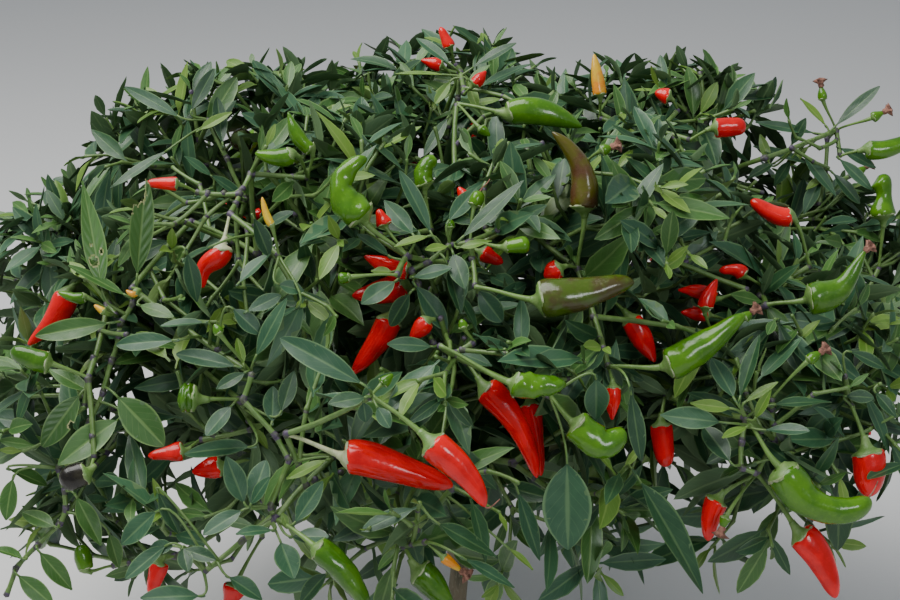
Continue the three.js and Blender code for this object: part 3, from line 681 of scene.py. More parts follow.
def placed(name, joint, calyx, tip, width, inward, bend=0):
    """A seen chilli in space, at the face of the crown or so far in from it."""
    depth = crown_depth(calyx) + inward
    joined = sighted(joint, depth + JOINT_BEHIND)
    chilli = {"name": name, "node": joined, "from": sighted(calyx, depth), "to": sighted(tip, depth)}
    return {**chilli, "width": width, "bend": bend, "mass": mass_at(joined), "inward": inward}


def shaped(chilli):
    """A chilli with all that is known of its own pod's shape."""
    known = {"through": POD_WAYS, "girth": POD_GIRTHS, "knobs": POD_KNOBS, "width": POD_WIDTHS}
    name = chilli["name"]
    return {**chilli, **{key: facts[name] for key, facts in known.items() if name in facts}}


def pod_line(chilli):
    """Five points down the middle of a pod, evenly from shoulder to tip. It is straight, but bent to
    one side by sin(pi s^0.75), unless its places in the picture are given."""
    a, b, s = chilli["from"], chilli["to"], np.linspace(0, 1, 5)[:, None]
    if "through" in chilli:
        depth = seen_at(a)[1]
        return np.array([a, *(sighted(place, depth) for place in chilli["through"]), b])
    aside = unit(np.cross(EYE - a, b - a)) * chilli["bend"] * np.linalg.norm(b - a)
    return a + (b - a) * s + aside * np.sin(np.pi * s**0.75)


def pod_pieces(chilli):
    """The straight pieces that a pod's middle is made of, with half its width: one for a straight pod,
    four for one whose places in the picture are given."""
    own = shaped(chilli)
    line = pod_line(own)[:: 1 if "through" in own else 4]
    return [{"a": a, "b": b, "radius": own["width"] / 2} for a, b in zip(line, line[1:])]


def chilli_rods_of(chilli):
    """The straight pieces that stand for a chilli and its stalk where twigs keep clear of them."""
    stalk_start = chilli["node"] + 0.3 * (chilli["from"] - chilli["node"])
    body = {"a": chilli["from"], "b": chilli["to"], "radius": chilli["width"] / 2, "body": True}
    stalk = {"a": stalk_start, "b": chilli["from"], "radius": STALK_END_RADIUS, "body": False}
    return [{**rod, "owner": chilli["mass"]["name"]} for rod in (body, stalk)]


chillies = [placed(name, *facts) for name, facts in seen_chillies.items()]
shoots = []
for name, (joint, inward) in seen_shoots.items():
    joined = sighted(joint, crown_depth(joint) + inward + JOINT_BEHIND)
    shoots.append({"name": name, "node": joined, "mass": mass_at(joined)})
chilli_rods = [rod for chilli in chillies for rod in chilli_rods_of(chilli)]


def clear_of(twig, rods, gap=1):
    """True if a straight piece passes every one of these rods with a gap."""
    if not rods:
        return True
    starts = np.array([rod["a"] for rod in rods])
    ends = np.array([rod["b"] for rod in rods])
    sizes = np.array([rod["radius"] for rod in rods])
    return bool((gaps(twig["a"], twig["b"], starts, ends) > sizes + twig["radius"] + gap).all())


def twig_fits(mass, twig, edge):
    """True if a twig keeps to its mass's space and touches no limb and no chilli."""
    if outness(mass, twig["b"]) > edge or not in_space(mass, twig["b"], twig["radius"]):
        return False
    own_limb = mass["limb"]["name"]
    rods = [rod for rod in limb_rods if rod["limb"] != own_limb or twig.get("level", 0) > 1]
    rods += [rod for rod in chilli_rods if rod["owner"] != mass["name"] or rod["body"]]
    return clear_of(twig, rods)


def twig_way(mass, parent, start, angle, spread_by):
    """The way a new twig grows: its parent's way turned by the fork, pulled up and outwards."""
    pulled = tilted(parent["way"], angle, spread_by) + UP * UPWARD_PULL
    return unit(pulled + (start - mass["centre"]) * flatten * OUTWARD_PULL)


def straight(start, way, length, radii, level, **more):
    """A straight twig, and how many forks lie between it and its limb."""
    twig = {"a": start, "b": start + way * length, "way": way, "level": level}
    return {**twig, "radius": radii[0], "end_radius": radii[1], **more}


def grow_twigs(mass):
    """The first three generations of a mass, as its solid has them: a stem on from the limb's tip,
    which forks into three, and each of those into two. A twig that doesn't fit is turned further
    round its parent and shortened, a few times, before it is left out."""
    draw = seeded(mass["seed"])
    way = leaving(mass["limb"]["curve"])
    twigs = [straight(mass["limb"]["curve"][3] + way * 0.3, way, TWIG_LENGTHS[0], TWIG_RADII[:2], 0)]
    for level in range(1, len(TWIG_LENGTHS)):
        for parent in [twig for twig in twigs if twig["level"] == level - 1]:
            turn = draw() * 360
            forks = TWIG_FORKS[level - 1]
            for fork in range(forks):
                for go in range(TWIG_TRIES):
                    angle = turn + 360 * fork / forks + (draw() - 0.5) * 40 + go * TWIG_TURN
                    spread_by = FORK_SPREAD + (draw() - 0.5) * 16
                    length = TWIG_LENGTHS[level] * (0.85 + 0.3 * draw()) * (1 - 0.1 * go)
                    way = twig_way(mass, parent, parent["b"], angle, spread_by)
                    twig = straight(parent["b"], way, length, TWIG_RADII[level:], level)
                    if twig_fits(mass, twig, TWIG_EDGE):
                        parent["forked"] = True
                        twigs.append(twig)
                        break
    return twigs


def carry(shoot):
    """Carries a seen joint by a twig from the nearest place on its mass that has a clear way to it,
    unless another seen joint is so near that they share one."""
    mass = shoot["mass"]
    for twig in mass["twigs"]:
        if twig.get("seen") and np.linalg.norm(twig["b"] - shoot["node"]) < JOINT_REACH:
            shoot["node"] = twig["b"]
            return
    blocks = [twig for other in masses if other is not mass for twig in other["twigs"]] + limb_rods
    blocks += [rod for rod in chilli_rods if rod["body"] or rod["owner"] != mass["name"]]
    starts = [
        twig["a"] + share * (twig["b"] - twig["a"])
        for twig in mass["twigs"]
        if twig["level"] > 0
        for share in (0.5, 1)
    ]
    starts.sort(key=lambda start: np.linalg.norm(start - shoot["node"]))
    for start in starts:
        twig = {"a": start, "b": shoot["node"], "radius": SHOOT_RADIUS}
        if clear_of(twig, blocks):
            way = unit(shoot["node"] - start)
            twig.update(way=way, end_radius=SHOOT_RADIUS * 0.85, level=len(TWIG_LENGTHS), seen=True)
            mass["twigs"].append(twig)
            return


def grow_chillies(mass, wanted, seed, edge=CHILLI_EDGE):
    """Chillies of a mass that the photograph doesn't show: one at a fork here and there, on a stalk
    that leans out from the twig, most of them hanging and some upright."""
    draw = seeded(seed)
    found = []
    for twig in [t for t in mass["twigs"] if t["level"] > 0 and not t.get("seen")]:
        if len(found) == wanted:
            break
        for _ in range(CHILLI["tries"]):
            out = unit(tilted(twig["way"], draw() * 360, 50) + UP * (draw() - 0.4) * 0.8)
            start = twig["b"] + out * STALK_LENGTH
            way = unit(out + UP * (-1 if draw() < 0.55 else 0.5))
            length = CHILLI["length"] * (0.75 + 0.4 * draw())
            width = CHILLI["width"] * (0.8 + 0.3 * draw())
            body = {"a": start, "b": start + way * length, "radius": width / 2}
            if not twig_fits(mass, body, edge) or not in_space(mass, start, width / 2):
                continue
            if not clear_of({**body, "radius": width / 2 + 1}, [{**t, "radius": 0} for t in mass["twigs"]]):
                continue
            chilli = {"name": "", "node": twig["b"], "from": start, "to": body["b"], "width": width}
            chilli.update(bend=0.1 * (draw() - 0.5), mass=mass, inward=0)
            chilli_rods.extend(chilli_rods_of(chilli))
            found.append(chilli)
            break
    return found


for mass in masses:
    mass["twigs"] = grow_twigs(mass)
for shoot in shoots + chillies:
    carry(shoot)
for mass in masses:
    shown = any(chilli["mass"] is mass for chilli in chillies)
    mass["chillies"] = grow_chillies(mass, 0 if shown else HIDDEN_CHILLIES, mass["seed"] + 23)

# Chillies that the photograph doesn't show have to be out of the camera's sight
FRAME_EDGE = 20  # pixels round the frame that count as seen
HIDDEN_DEPTHS = (90, 125)  # how far in from the crown's face the large and the small ones must be


def in_front(point, less):
    """True where the camera would see a point that lies less far in from the crown's face than this."""
    place, depth = seen_at(point)
    in_frame = (place > -FRAME_EDGE).all() and (place < np.array(PHOTO_SIZE) + FRAME_EDGE).all()
    return bool(in_frame) and depth < crown_depth(place) + less


hidden_chillies = [c for mass in masses for c in mass["chillies"] if not in_front(c["to"], HIDDEN_DEPTHS[0])]
chilli_rods = [rod for chilli in chillies + hidden_chillies for rod in chilli_rods_of(chilli)]

# Finer shoots: the rule goes on within the same reach. Every twig puts out side shoots, every end
# forks, and each fork forks once more, into the thin green tips that carry the leaves. The stems
# that the photograph shows from joint to joint are added at their own places.
SIDE_SHOOTS = {"shares": (0.36, 0.72), "length": 24, "spread": 52, "radius": 1.0}
FORKED_TIPS = {"count": 2, "length": 19, "spread": 38, "radius": 0.85}
LAST_TIPS = {"count": 1, "length": 13, "spread": 26, "radius": 0.7}
FINE_EDGE = 0.97
FINE_TRIES = 3
FINE_TURN = 97
MORE_CHILLIES = 7
FRUIT_EDGE = 1.04
INNER_STEP = 5.5
INNER_LENGTH = 24
INNER_FLOOR = 118
INNER_RADII = (0.9, 0.7)
TWIG_SIDES = 7
NODE_SWELLING = 0.45

# More chillies and buds, deeper in the crown or too small for the solids, given as above
deeper_chillies = {
    "slender_green": [(308, 178), (312, 150), (288, 112), 7, 24, 0.1],
    "middle_red": [(404, 300), (390, 318), (352, 374), 12, 46, 0.05],
    "behind_star_red": [(430, 300), (404, 284), (352, 296), 11, 40, 0.05],
    "tucked_red": [(264, 457), (222, 466), (192, 472), 9, 26],
    "tucked_second_red": [(200, 440), (184, 451), (148, 456), 7, 25],
    "orange_bud": [(600, 118), (600, 96), (594, 54), 7, 6],
    "hidden_red": [(741, 468), (718, 499), (708, 541), 10, 24, -0.06],
    "inner_red": [(748, 290), (714, 299), (678, 290), 7, 45, -0.1],
    "inner_low_red": [(730, 322), (709, 315), (681, 312), 6, 46],
    "inner_upright_red": [(712, 334), (705, 309), (717, 279), 6.5, 37, 0.05],
    "inner_arch_red": [(764, 288), (744, 276), (719, 271), 6, 46, -0.16],
    "second_inner_red": [(612, 300), (630, 318), (655, 362), 10, 45],
    "low_left_red": [(262, 537), (236, 584), (226, 612), 9, 10],
    "corner_red": [(176, 556), (160, 562), (150, 596), 8, 16],
    "star_bud": [(455, 248), (505, 247), (530, 244), 7, 4],
    "corolla_bud": [(459, 241), (474, 206), (480, 191), 6, 4],
    "left_star_bud": [(397, 275), (350, 277), (338, 279), 4.6, 6],
    "sprout_bud": [(116, 316), (86, 297), (58, 292), 4.6, 6, 0.1],
    "upper_left_bud": [(240, 365), (220, 334), (214, 324), 4.2, 6],
    "small_star_bud": [(447, 262), (450, 228), (450, 218), 4, 4],
    "back_bud": [(457, 106), (480, 128), (490, 136), 4.6, 8],
    "dry_lower_bud": [(738, 482), (726, 517), (722, 528), 4.6, 8],
    "dry_right_bud": [(772, 398), (808, 361), (821, 352), 4.6, 6],
    "wilted_yellow": [(134, 300), (137, 291), (126, 290), 3, 2, 0.3],
    "second_yellow": [(114, 322), (104, 312), (94, 305), 3.2, 2],
    "pale_round_green": [(112, 566), (86, 570), (80, 545), 6.5, 2],
    "star_second_red": [(425, 300), (409, 270), (364, 256), 8, 26, 0.05],
    "star_low_red": [(446, 330), (428, 320), (410, 340), 7, 30],
    "small_hidden_red": [(396, 236), (385, 226), (378, 209), 6, 16],
    "right_of_star_red": [(470, 250), (481, 252), (503, 263), 7, 26],
    "over_dark_red": [(574, 262), (560, 268), (544, 277), 8, 26],
    "dry_edge_bud": [(850, 176), (859, 172), (866, 167), 4, 8],
    "front_small_bud": [(372, 394), (382, 384), (393, 374), 4.4, 0],
    "lower_star_bud": [(474, 342), (464, 328), (461, 319), 4.2, 8],
    "top_right_bud": [(826, 132), (823, 100), (821, 86), 4.6, 8],
    "far_right_bud": [(841, 138), (872, 118), (884, 112), 4.6, 8],
    "dry_middle_bud": [(728, 330), (744, 318), (752, 312), 4.2, 10],
    "yellow_thin": [(279, 256), (272, 226), (262, 197), 3.6, 12, 0.05],
    "black_pod": [(94, 458), (88, 472), (60, 482), 9, 14],
    "far_right_green": [(840, 156), (866, 149), (924, 131), 9.5, 10, -0.1],
    "dry_top_bud": [(588, 160), (601, 151), (612, 147), 4.6, 8],
    "small_back_red": [(678, 110), (669, 97), (655, 92), 7, 8],
    "star_back_red": [(474, 214), (470, 204), (458, 187), 6, 22],
    "back_star_red": [(464, 94), (474, 85), (486, 71), 6, 12],
    "upper_left_red": [(196, 192), (178, 184), (146, 183), 5.8, 10],
    "dim_green": [(302, 172), (293, 154), (255, 153), 8, 14, 0.1],
    "top_red": [(455, 64), (450, 48), (440, 27), 6, 10],
    "top_second_red": [(456, 82), (442, 66), (421, 60), 6, 12],
    "wedge_red": [(604, 370), (613, 386), (612, 420), 7, 16],
    "low_back_green": [(404, 546), (417, 570), (452, 612), 11, 24, 0.05],
    "dry_low_bud": [(426, 542), (443, 557), (462, 571), 3.8, 14],
}
deeper = [placed(name, *facts) for name, facts in deeper_chillies.items()]
for chilli in deeper:
    chilli_rods.extend(chilli_rods_of(chilli))
    carry(chilli)
chillies += deeper

# What shows in front: each piece from one point to another, with its half width. A twig or leaf
# that would hide one of them from the camera isn't grown.
HIDING_MARGIN = 3  # pixels
KEPT_IN_VIEW = {"pod": 47, "stalk": 22}  # for chillies no further in from the crown's face than this
CHILLI_STALK_HALF = 1.5
near = [c for c in chillies if c["inward"] < KEPT_IN_VIEW["pod"]]
fronts = [[rod["a"], rod["b"], rod["radius"]] for chilli in near for rod in pod_pieces(chilli)]
near = [c for c in near if c["inward"] < KEPT_IN_VIEW["stalk"]]
fronts += [[chilli["node"], chilli["from"], CHILLI_STALK_HALF] for chilli in near]


def hides(foot, tip, half, behind=4):
    """True for each straight piece that would pass in front of something that shows: where a sample of
    it comes nearer to that thing's line in the picture than the two half widths, and is less deep."""
    start, end, size = (np.array(part) for part in zip(*fronts))
    (pixel_a, depth_a), (pixel_b, depth_b) = seen_at(start), seen_at(end)
    samples = foot[:, None] + (tip - foot)[:, None] * np.array([0.15, 0.4, 0.65, 0.9])[:, None]
    pixels, depths = seen_at(samples)
    run = pixel_b - pixel_a
    share = np.clip(((pixels[:, :, None] - pixel_a) * run).sum(-1) / (run**2).sum(-1), 0, 1)
    apart = lengths(pixels[:, :, None] - pixel_a - share[..., None] * run)
    reach = FOCAL_PIXELS / CROWN_FOCUS * (size + half[:, None, None]) + HIDING_MARGIN
    nearer = depths[:, :, None] < depth_a + share * (depth_b - depth_a) + behind
    return ((apart < reach) & nearer).any((1, 2))


# Stems that the photograph shows: the places that each runs through, and the joint that it starts
# from, whose depth it keeps
seen_stems = [
    ["front_star", (450, 245), (428, 263), (411, 270), (418, 283), (427, 330), (433, 343), (444, 350)],
    ["low_star", (270, 507), (289, 460), (276, 436), (243, 400), (252, 373)],
    ["left_sprout", (133, 303), (121, 322), (119, 334), (112, 360), (103, 392), (90, 420), (70, 452),
     (58, 468), (65, 490), (66, 508), (60, 524), (38, 545), (16, 568), (6, 596)],
    ["hooked_green", (742, 441), (741, 468), (757, 474)],
    ["right_star", (827, 138), (825, 172), (818, 205)],
    ["back_left_star", (227, 158), (246, 198), (236, 232)],
    ["back_star", (458, 98), (447, 128)],
    ["low_star", (243, 540), (204, 572)],
]
SEEN_STEM_RADII = (1.05, 1.0)


def grow_finer(mass):
    """Side shoots from every twig, then two forks at every end, then one last tip from each."""
    draw = seeded(mass["seed"] + 5)

    def sprout(parent, share, angle, kind, level):
        start = parent["a"] + share * (parent["b"] - parent["a"])
        for go in range(FINE_TRIES):
            spread_by = kind["spread"] + (draw() - 0.5) * 18
            length = kind["length"] * (0.8 + 0.4 * draw()) * (1 - 0.15 * go)
            way = twig_way(mass, parent, start, angle + go * FINE_TURN, spread_by)
            radii = (kind["radius"], kind["radius"] * 0.85)
            twig = straight(start, way, length, radii, level)
            if twig_fits(mass, twig, FINE_EDGE) and not hides(start[None], twig["b"][None], np.array([0.8])):
                if share == 1:
                    parent["forked"] = True
                mass["twigs"].append(twig)
                return

    for parent in [twig for twig in mass["twigs"] if twig["level"] > 0]:
        turn = draw() * 360
        for i, share in enumerate(SIDE_SHOOTS["shares"]):
            sprout(parent, share, turn + 150 * i, SIDE_SHOOTS, 4)
    for kind, level in ((FORKED_TIPS, 5), (LAST_TIPS, 6)):
        ends = [t for t in mass["twigs"] if not t.get("forked") and not t.get("seen") and t["level"] > 0]
        for parent in ends:
            turn = draw() * 360
            for fork in range(kind["count"]):
                sprout(parent, 1, turn + 360 * fork / kind["count"], kind, level)


for mass in masses:
    grow_finer(mass)
for mass in masses:
    for chilli in grow_chillies(mass, MORE_CHILLIES, mass["seed"] + 31, FRUIT_EDGE):
        along = [chilli["from"] * share + chilli["to"] * (1 - share) for share in (0, 0.5, 1)]
        if not any(in_front(point, HIDDEN_DEPTHS[1]) for point in along):
            hidden_chillies.append(chilli)
chilli_rods = [rod for chilli in chillies + hidden_chillies for rod in chilli_rods_of(chilli)]

# The tips that end low in front, under what the camera sees, run on and lean out as far as the solids
LOW_TIPS = {"y": -176, "row": 548, "lean": (0, -1, -0.4), "lengths": (21, 46), "out_to": -233}
LOW_TIPS.update(radii=(0.75, 0.6), edge=1.24)
for mass in masses:
    for parent in [t for t in mass["twigs"] if not t.get("forked") and not t.get("seen")]:
        if parent["b"][1] < LOW_TIPS["y"] and seen_at(parent["b"])[0][1] > LOW_TIPS["row"]:
            way = unit(0.5 * parent["way"] + np.array(LOW_TIPS["lean"]))
            length = np.clip((LOW_TIPS["out_to"] - parent["b"][1]) / way[1], *LOW_TIPS["lengths"])
            twig = straight(parent["b"], way, length, LOW_TIPS["radii"], 6)
            if twig_fits(mass, twig, LOW_TIPS["edge"]):
                parent["forked"] = True
                mass["twigs"].append(twig)
joints = {shoot["name"]: shoot for shoot in shoots + chillies}
for start, *places in seen_stems:
    joint = joints[start]
    depth = seen_at(joint["node"])[1]
    run = [joint["node"]] + [sighted(place, depth) for place in places]
    for a, b in zip(run, run[1:]):
        stem = {"a": a, "b": b, "way": unit(b - a), "radius": SEEN_STEM_RADII[0]}
        stem["end_radius"] = SEEN_STEM_RADII[1]
        joint["mass"]["twigs"].append({**stem, "level": 7, "seen": True, "forked": True, "stem": True})


def inner_shoots():
    """Short leafy shoots along the branches and limbs, which fill the shade inside the crown."""
    draw = seeded(SEED + 9)
    found = []
    for limb in green:
        for share in np.arange(0.12, 0.99, INNER_STEP / limb["reach"]):
            start, near = bezier(limb["curve"], [share, share + 0.001])
            out = tilted(unit(near - start), draw() * 360, 45 + 30 * draw())
            way = unit(out + UP * (draw() - 0.35) * 0.5)
            length = INNER_LENGTH * (0.7 + 0.6 * draw())
            twig = straight(start, way, length, INNER_RADII, 5, inner=True)
            twig["mass"] = mass_at(twig["b"])
            others = [rod for rod in limb_rods if rod["limb"] != limb["name"]] + chilli_rods
            if clear_of({**twig, "a": start + 3 * way}, others) and twig["b"][2] > INNER_FLOOR:
                found.append(twig)
    return found


twigs = [{**twig, "mass": mass} for mass in masses for twig in mass["twigs"]] + inner_shoots()


def columns(rows, *keys):
    """The values under each key, over all rows, as arrays."""
    return [np.array([row[key] for row in rows], float) for key in keys]


lower_names = [mass["name"] for mass in masses if "lower" in mass["name"]]
upper_names = [mass["name"] for mass in masses if "lower" not in mass["name"]]
all_names = lower_names + upper_names

# Leaves: narrow pointed blades on short stalks, in a star round every tip and one by one along the
# twigs. They are dark blue-green and satin above, paler below, with a pale rim and midrib, and the
# youngest at the tips are small and yellow-green. Each is one thin closed body in its own outline.
BLADE_THICKNESS = 0.45
STALK_SHARE = 0.13  # of the leaf's length, before the blade begins
STALK_HALF_WIDTH = 0.5
OUTLINE_FOOT = 0.8  # how full the blade is at its foot, from 0 to 2
OUTLINE_TIPS = (0.72, 0.5)  # how drawn out its tip is, and how much further the most pointed leaves go
LEAF_STATIONS = [0.02, 0.12, 0.24, 0.42, 0.62, 0.8, 0.93]
SEEN_LEAF_STATIONS = [0.02, 0.08, 0.13, 0.17, 0.22, 0.28, 0.35, 0.43, 0.51, 0.59]
SEEN_LEAF_STATIONS += [0.67, 0.74, 0.81, 0.87, 0.92, 0.96, 0.985]
STAR_LEAVES = (5, 8)
STAR_STEP = 1.9
GOLDEN_TURN = 137.5
STAR_LENGTHS = (11, 29)  # of the youngest and the oldest leaf of a star
STAR_SPREADS = (24, 78)
LONE_LENGTH = 31
LONE_STEP = 8
LEAF_WIDTH_SHARE = 0.31
INNER_LEAF = 1.38  # how much longer a leaf grows in the shade
CROWN_EDGE = 1.1
LOW_EDGE = 1.28  # how far out of their lobe leaves may reach under the frame, in front of a given y
LOW_FRONT = {"y": -214, "row": 580}
INNER_LEAF_FLOOR = 100


def half_outline(along, tint):
    """Half the width of each leaf, as a share of its greatest: nothing but a thin stalk at first, then
    t^a (1-t)^b, which is widest at a/(a+b) of the blade and runs out to a point. b differs by leaf."""
    a = OUTLINE_FOOT
    b = OUTLINE_TIPS[0] + OUTLINE_TIPS[1] * tint[:, None]
    widest = a / (a + b)
    t = np.clip((along - STALK_SHARE) / (1 - STALK_SHARE), 0, 1)
    return (t / widest) ** a * ((1 - t) / (1 - widest)) ** b


def blades(rows, stations, top_steps, under_steps, pucker=0.0):
    """Leaves as closed bodies. Each station along a leaf has a ring that runs under the blade from its
    right edge to its left one, and back over the top. The two halves rise from the midrib like a
    shallow V, the tip droops by the square of the way along, and the blade turns a little on itself."""
    foot, way, above, length, width, fold, droop, twist, tint = rows
    stations = np.array(stations)
    below = np.linspace(1, -1, under_steps + 1)[:-1]
    over = np.linspace(-1, 1, top_steps + 1)[:-1]
    across_at = np.concatenate([below, over])
    is_below = np.arange(len(across_at)) < under_steps
    half = half_outline(stations, tint)[..., None] * (width / 2)[:, None, None] * np.ones(len(across_at))
    half = np.maximum(half, STALK_HALF_WIDTH)
    across = np.cross(way, above)
    turn = (twist[:, None] * stations)[..., None]
    side = across[:, None] * np.cos(turn) + above[:, None] * np.sin(turn)
    lift = above[:, None] * np.cos(turn) - across[:, None] * np.sin(turn)
    edge = np.abs(across_at)
    ribs = np.sin(2 * np.pi * (9 * stations[:, None] - 1.6 * edge)) * edge * (1 - edge) * 4 * pucker
    rise = fold[:, None, None] * edge * half + ribs
    waved = np.sin(7 * stations + 5 * tint[:, None])[..., None] * np.sign(across_at) * edge * 0.07 * half
    rise = rise + waved - np.where(is_below, BLADE_THICKNESS * (1 - edge**2), 0)
    stalk = np.where(stations < STALK_SHARE, 1, 0)[None, :, None]
    rise = rise - stalk * np.where(is_below, STALK_HALF_WIDTH * 1.2 * (1 - edge**2), 0)
    centre = foot[:, None] + way[:, None] * (stations * length[:, None])[..., None]
    centre = centre - above[:, None] * (droop[:, None] * length[:, None] * stations**2)[..., None]
    points = centre[:, :, None] + side[:, :, None] * (across_at * half)[..., None]
    points = points + lift[:, :, None] * rise[..., None]
    tip = foot + way * length[:, None] - above * (droop * length)[:, None]
    count, sides = len(stations), len(across_at)
    rings = points.reshape(len(foot), count * sides, 3)
    points = np.concatenate([rings, foot[:, None], tip[:, None]], axis=1)
    along = np.concatenate([np.repeat(stations, sides), [0, 1]])
    beside = np.concatenate([np.tile((across_at + 1) / 2, count), [0.5, 0.5]])
    place = np.stack(np.broadcast_arrays(along, beside, tint[:, None]), axis=-1)
    return points, ring_faces(count, sides), place.reshape(-1, 3), is_below


def leaf_rows(foot, way, above, length, width, draw):
    """The facts of many leaves that blades() takes, with each one's fold, droop and twist drawn."""
    count = len(foot)
    above = unit(above - (above * way).sum(-1, keepdims=True) * way)
    fold, droop = draw.uniform(0.12, 0.5, count), draw.uniform(-0.05, 0.28, count)
    twist, tint = draw.normal(0, 0.25, count), draw.uniform(0, 1, count)
    return [foot, way, above, length, width, fold, droop, twist, tint]


def star_leaves(tips, draw):
    """A star of leaves round each tip: each leaf stands a golden turn on from the last and a step
    lower on the twig, and is longer and leans further out the older it is."""
    b, way = columns(tips, "b", "way")
    most = STAR_LEAVES[1]
    counts = draw.integers(STAR_LEAVES[0], most + 1, len(tips))
    number = np.tile(np.arange(most), (len(tips), 1))
    age = np.clip(number / (counts[:, None] - 1), 0, 1)
    angle = draw.uniform(0, 360, (len(tips), 1)) + GOLDEN_TURN * number + draw.normal(0, 12, number.shape)
    lean = STAR_SPREADS[0] + (STAR_SPREADS[1] - STAR_SPREADS[0]) * age**0.7 + draw.normal(0, 8, number.shape)
    axis = np.broadcast_to(way[:, None], (*number.shape, 3))
    out = tilted(axis, angle, lean)
    length = STAR_LENGTHS[0] + (STAR_LENGTHS[1] - STAR_LENGTHS[0]) * age**0.8
    length = length * draw.uniform(0.85, 1.2, number.shape) * draw.uniform(0.85, 1.15, (len(tips), 1))
    foot = b[:, None] - way[:, None] * (number * STAR_STEP)[..., None]
    kept = number < counts[:, None]
    owner = np.broadcast_to(np.arange(len(tips))[:, None], number.shape)
    above = axis + UP * 0.5
    return foot[kept], out[kept], above[kept], length[kept], age[kept], owner[kept]


def lone_leaves(rows, draw):
    """Leaves along the older twigs: one at every step, each on the other side from the last."""
    a, b, way = columns(rows, "a", "b", "way")
    length = lengths(b - a)
    counts = np.maximum(1, length // LONE_STEP).astype(int)
    owner = np.repeat(np.arange(len(rows)), counts)
    number = np.concatenate([np.arange(count) for count in counts])
    share = (number + 0.6) / counts[owner]
    foot = a[owner] + (b - a)[owner] * share[:, None]
    angle = draw.uniform(0, 360, len(rows))[owner] + GOLDEN_TURN * number + draw.normal(0, 20, len(owner))
    out = tilted(way[owner], angle, draw.normal(62, 12, len(owner)))
    size = LONE_LENGTH * draw.uniform(0.75, 1.25, len(owner))
    return foot, out, way[owner] + UP * 0.8, size, np.ones(len(owner)), owner


ends = [twig for twig in twigs if not twig.get("forked") and not twig.get("stem")]
older = [twig for twig in twigs if not twig.get("stem")]
draw = np.random.default_rng(SEED)
found = []
for rows, (*grown, owner) in ((ends, star_leaves(ends, draw)), (older, lone_leaves(older, draw))):
    number = np.array([row["mass"]["number"] for row in rows])
    shaded = np.array([row.get("inner", False) for row in rows])
    found.append([*grown, number[owner], shaded[owner], draw.uniform(0, 1, len(rows))[owner]])
foot, way, above, length, age, leaf_mass, is_inner, spray = [np.concatenate(parts) for parts in zip(*found)]
length = length * np.where(is_inner, INNER_LEAF, 1)
width = length * LEAF_WIDTH_SHARE * draw.uniform(0.82, 1.18, len(length)) * np.where(is_inner, 1.2, 1)
tips = foot + way * length[:, None]
out_by = lengths((tips - centres[leaf_mass]) * flatten)
low, high = (np.array(corner) / MM for corner in cad_box)
is_low = (tips[:, 1] < LOW_FRONT["y"]) & (seen_at(tips)[0][:, 1] > LOW_FRONT["row"])
kept = (out_by < np.where(is_low, LOW_EDGE, CROWN_EDGE)) | is_inner & (tips[:, 2] > INNER_LEAF_FLOOR)
kept &= (tips > low + 1).all(-1) & (tips < high - 1).all(-1)

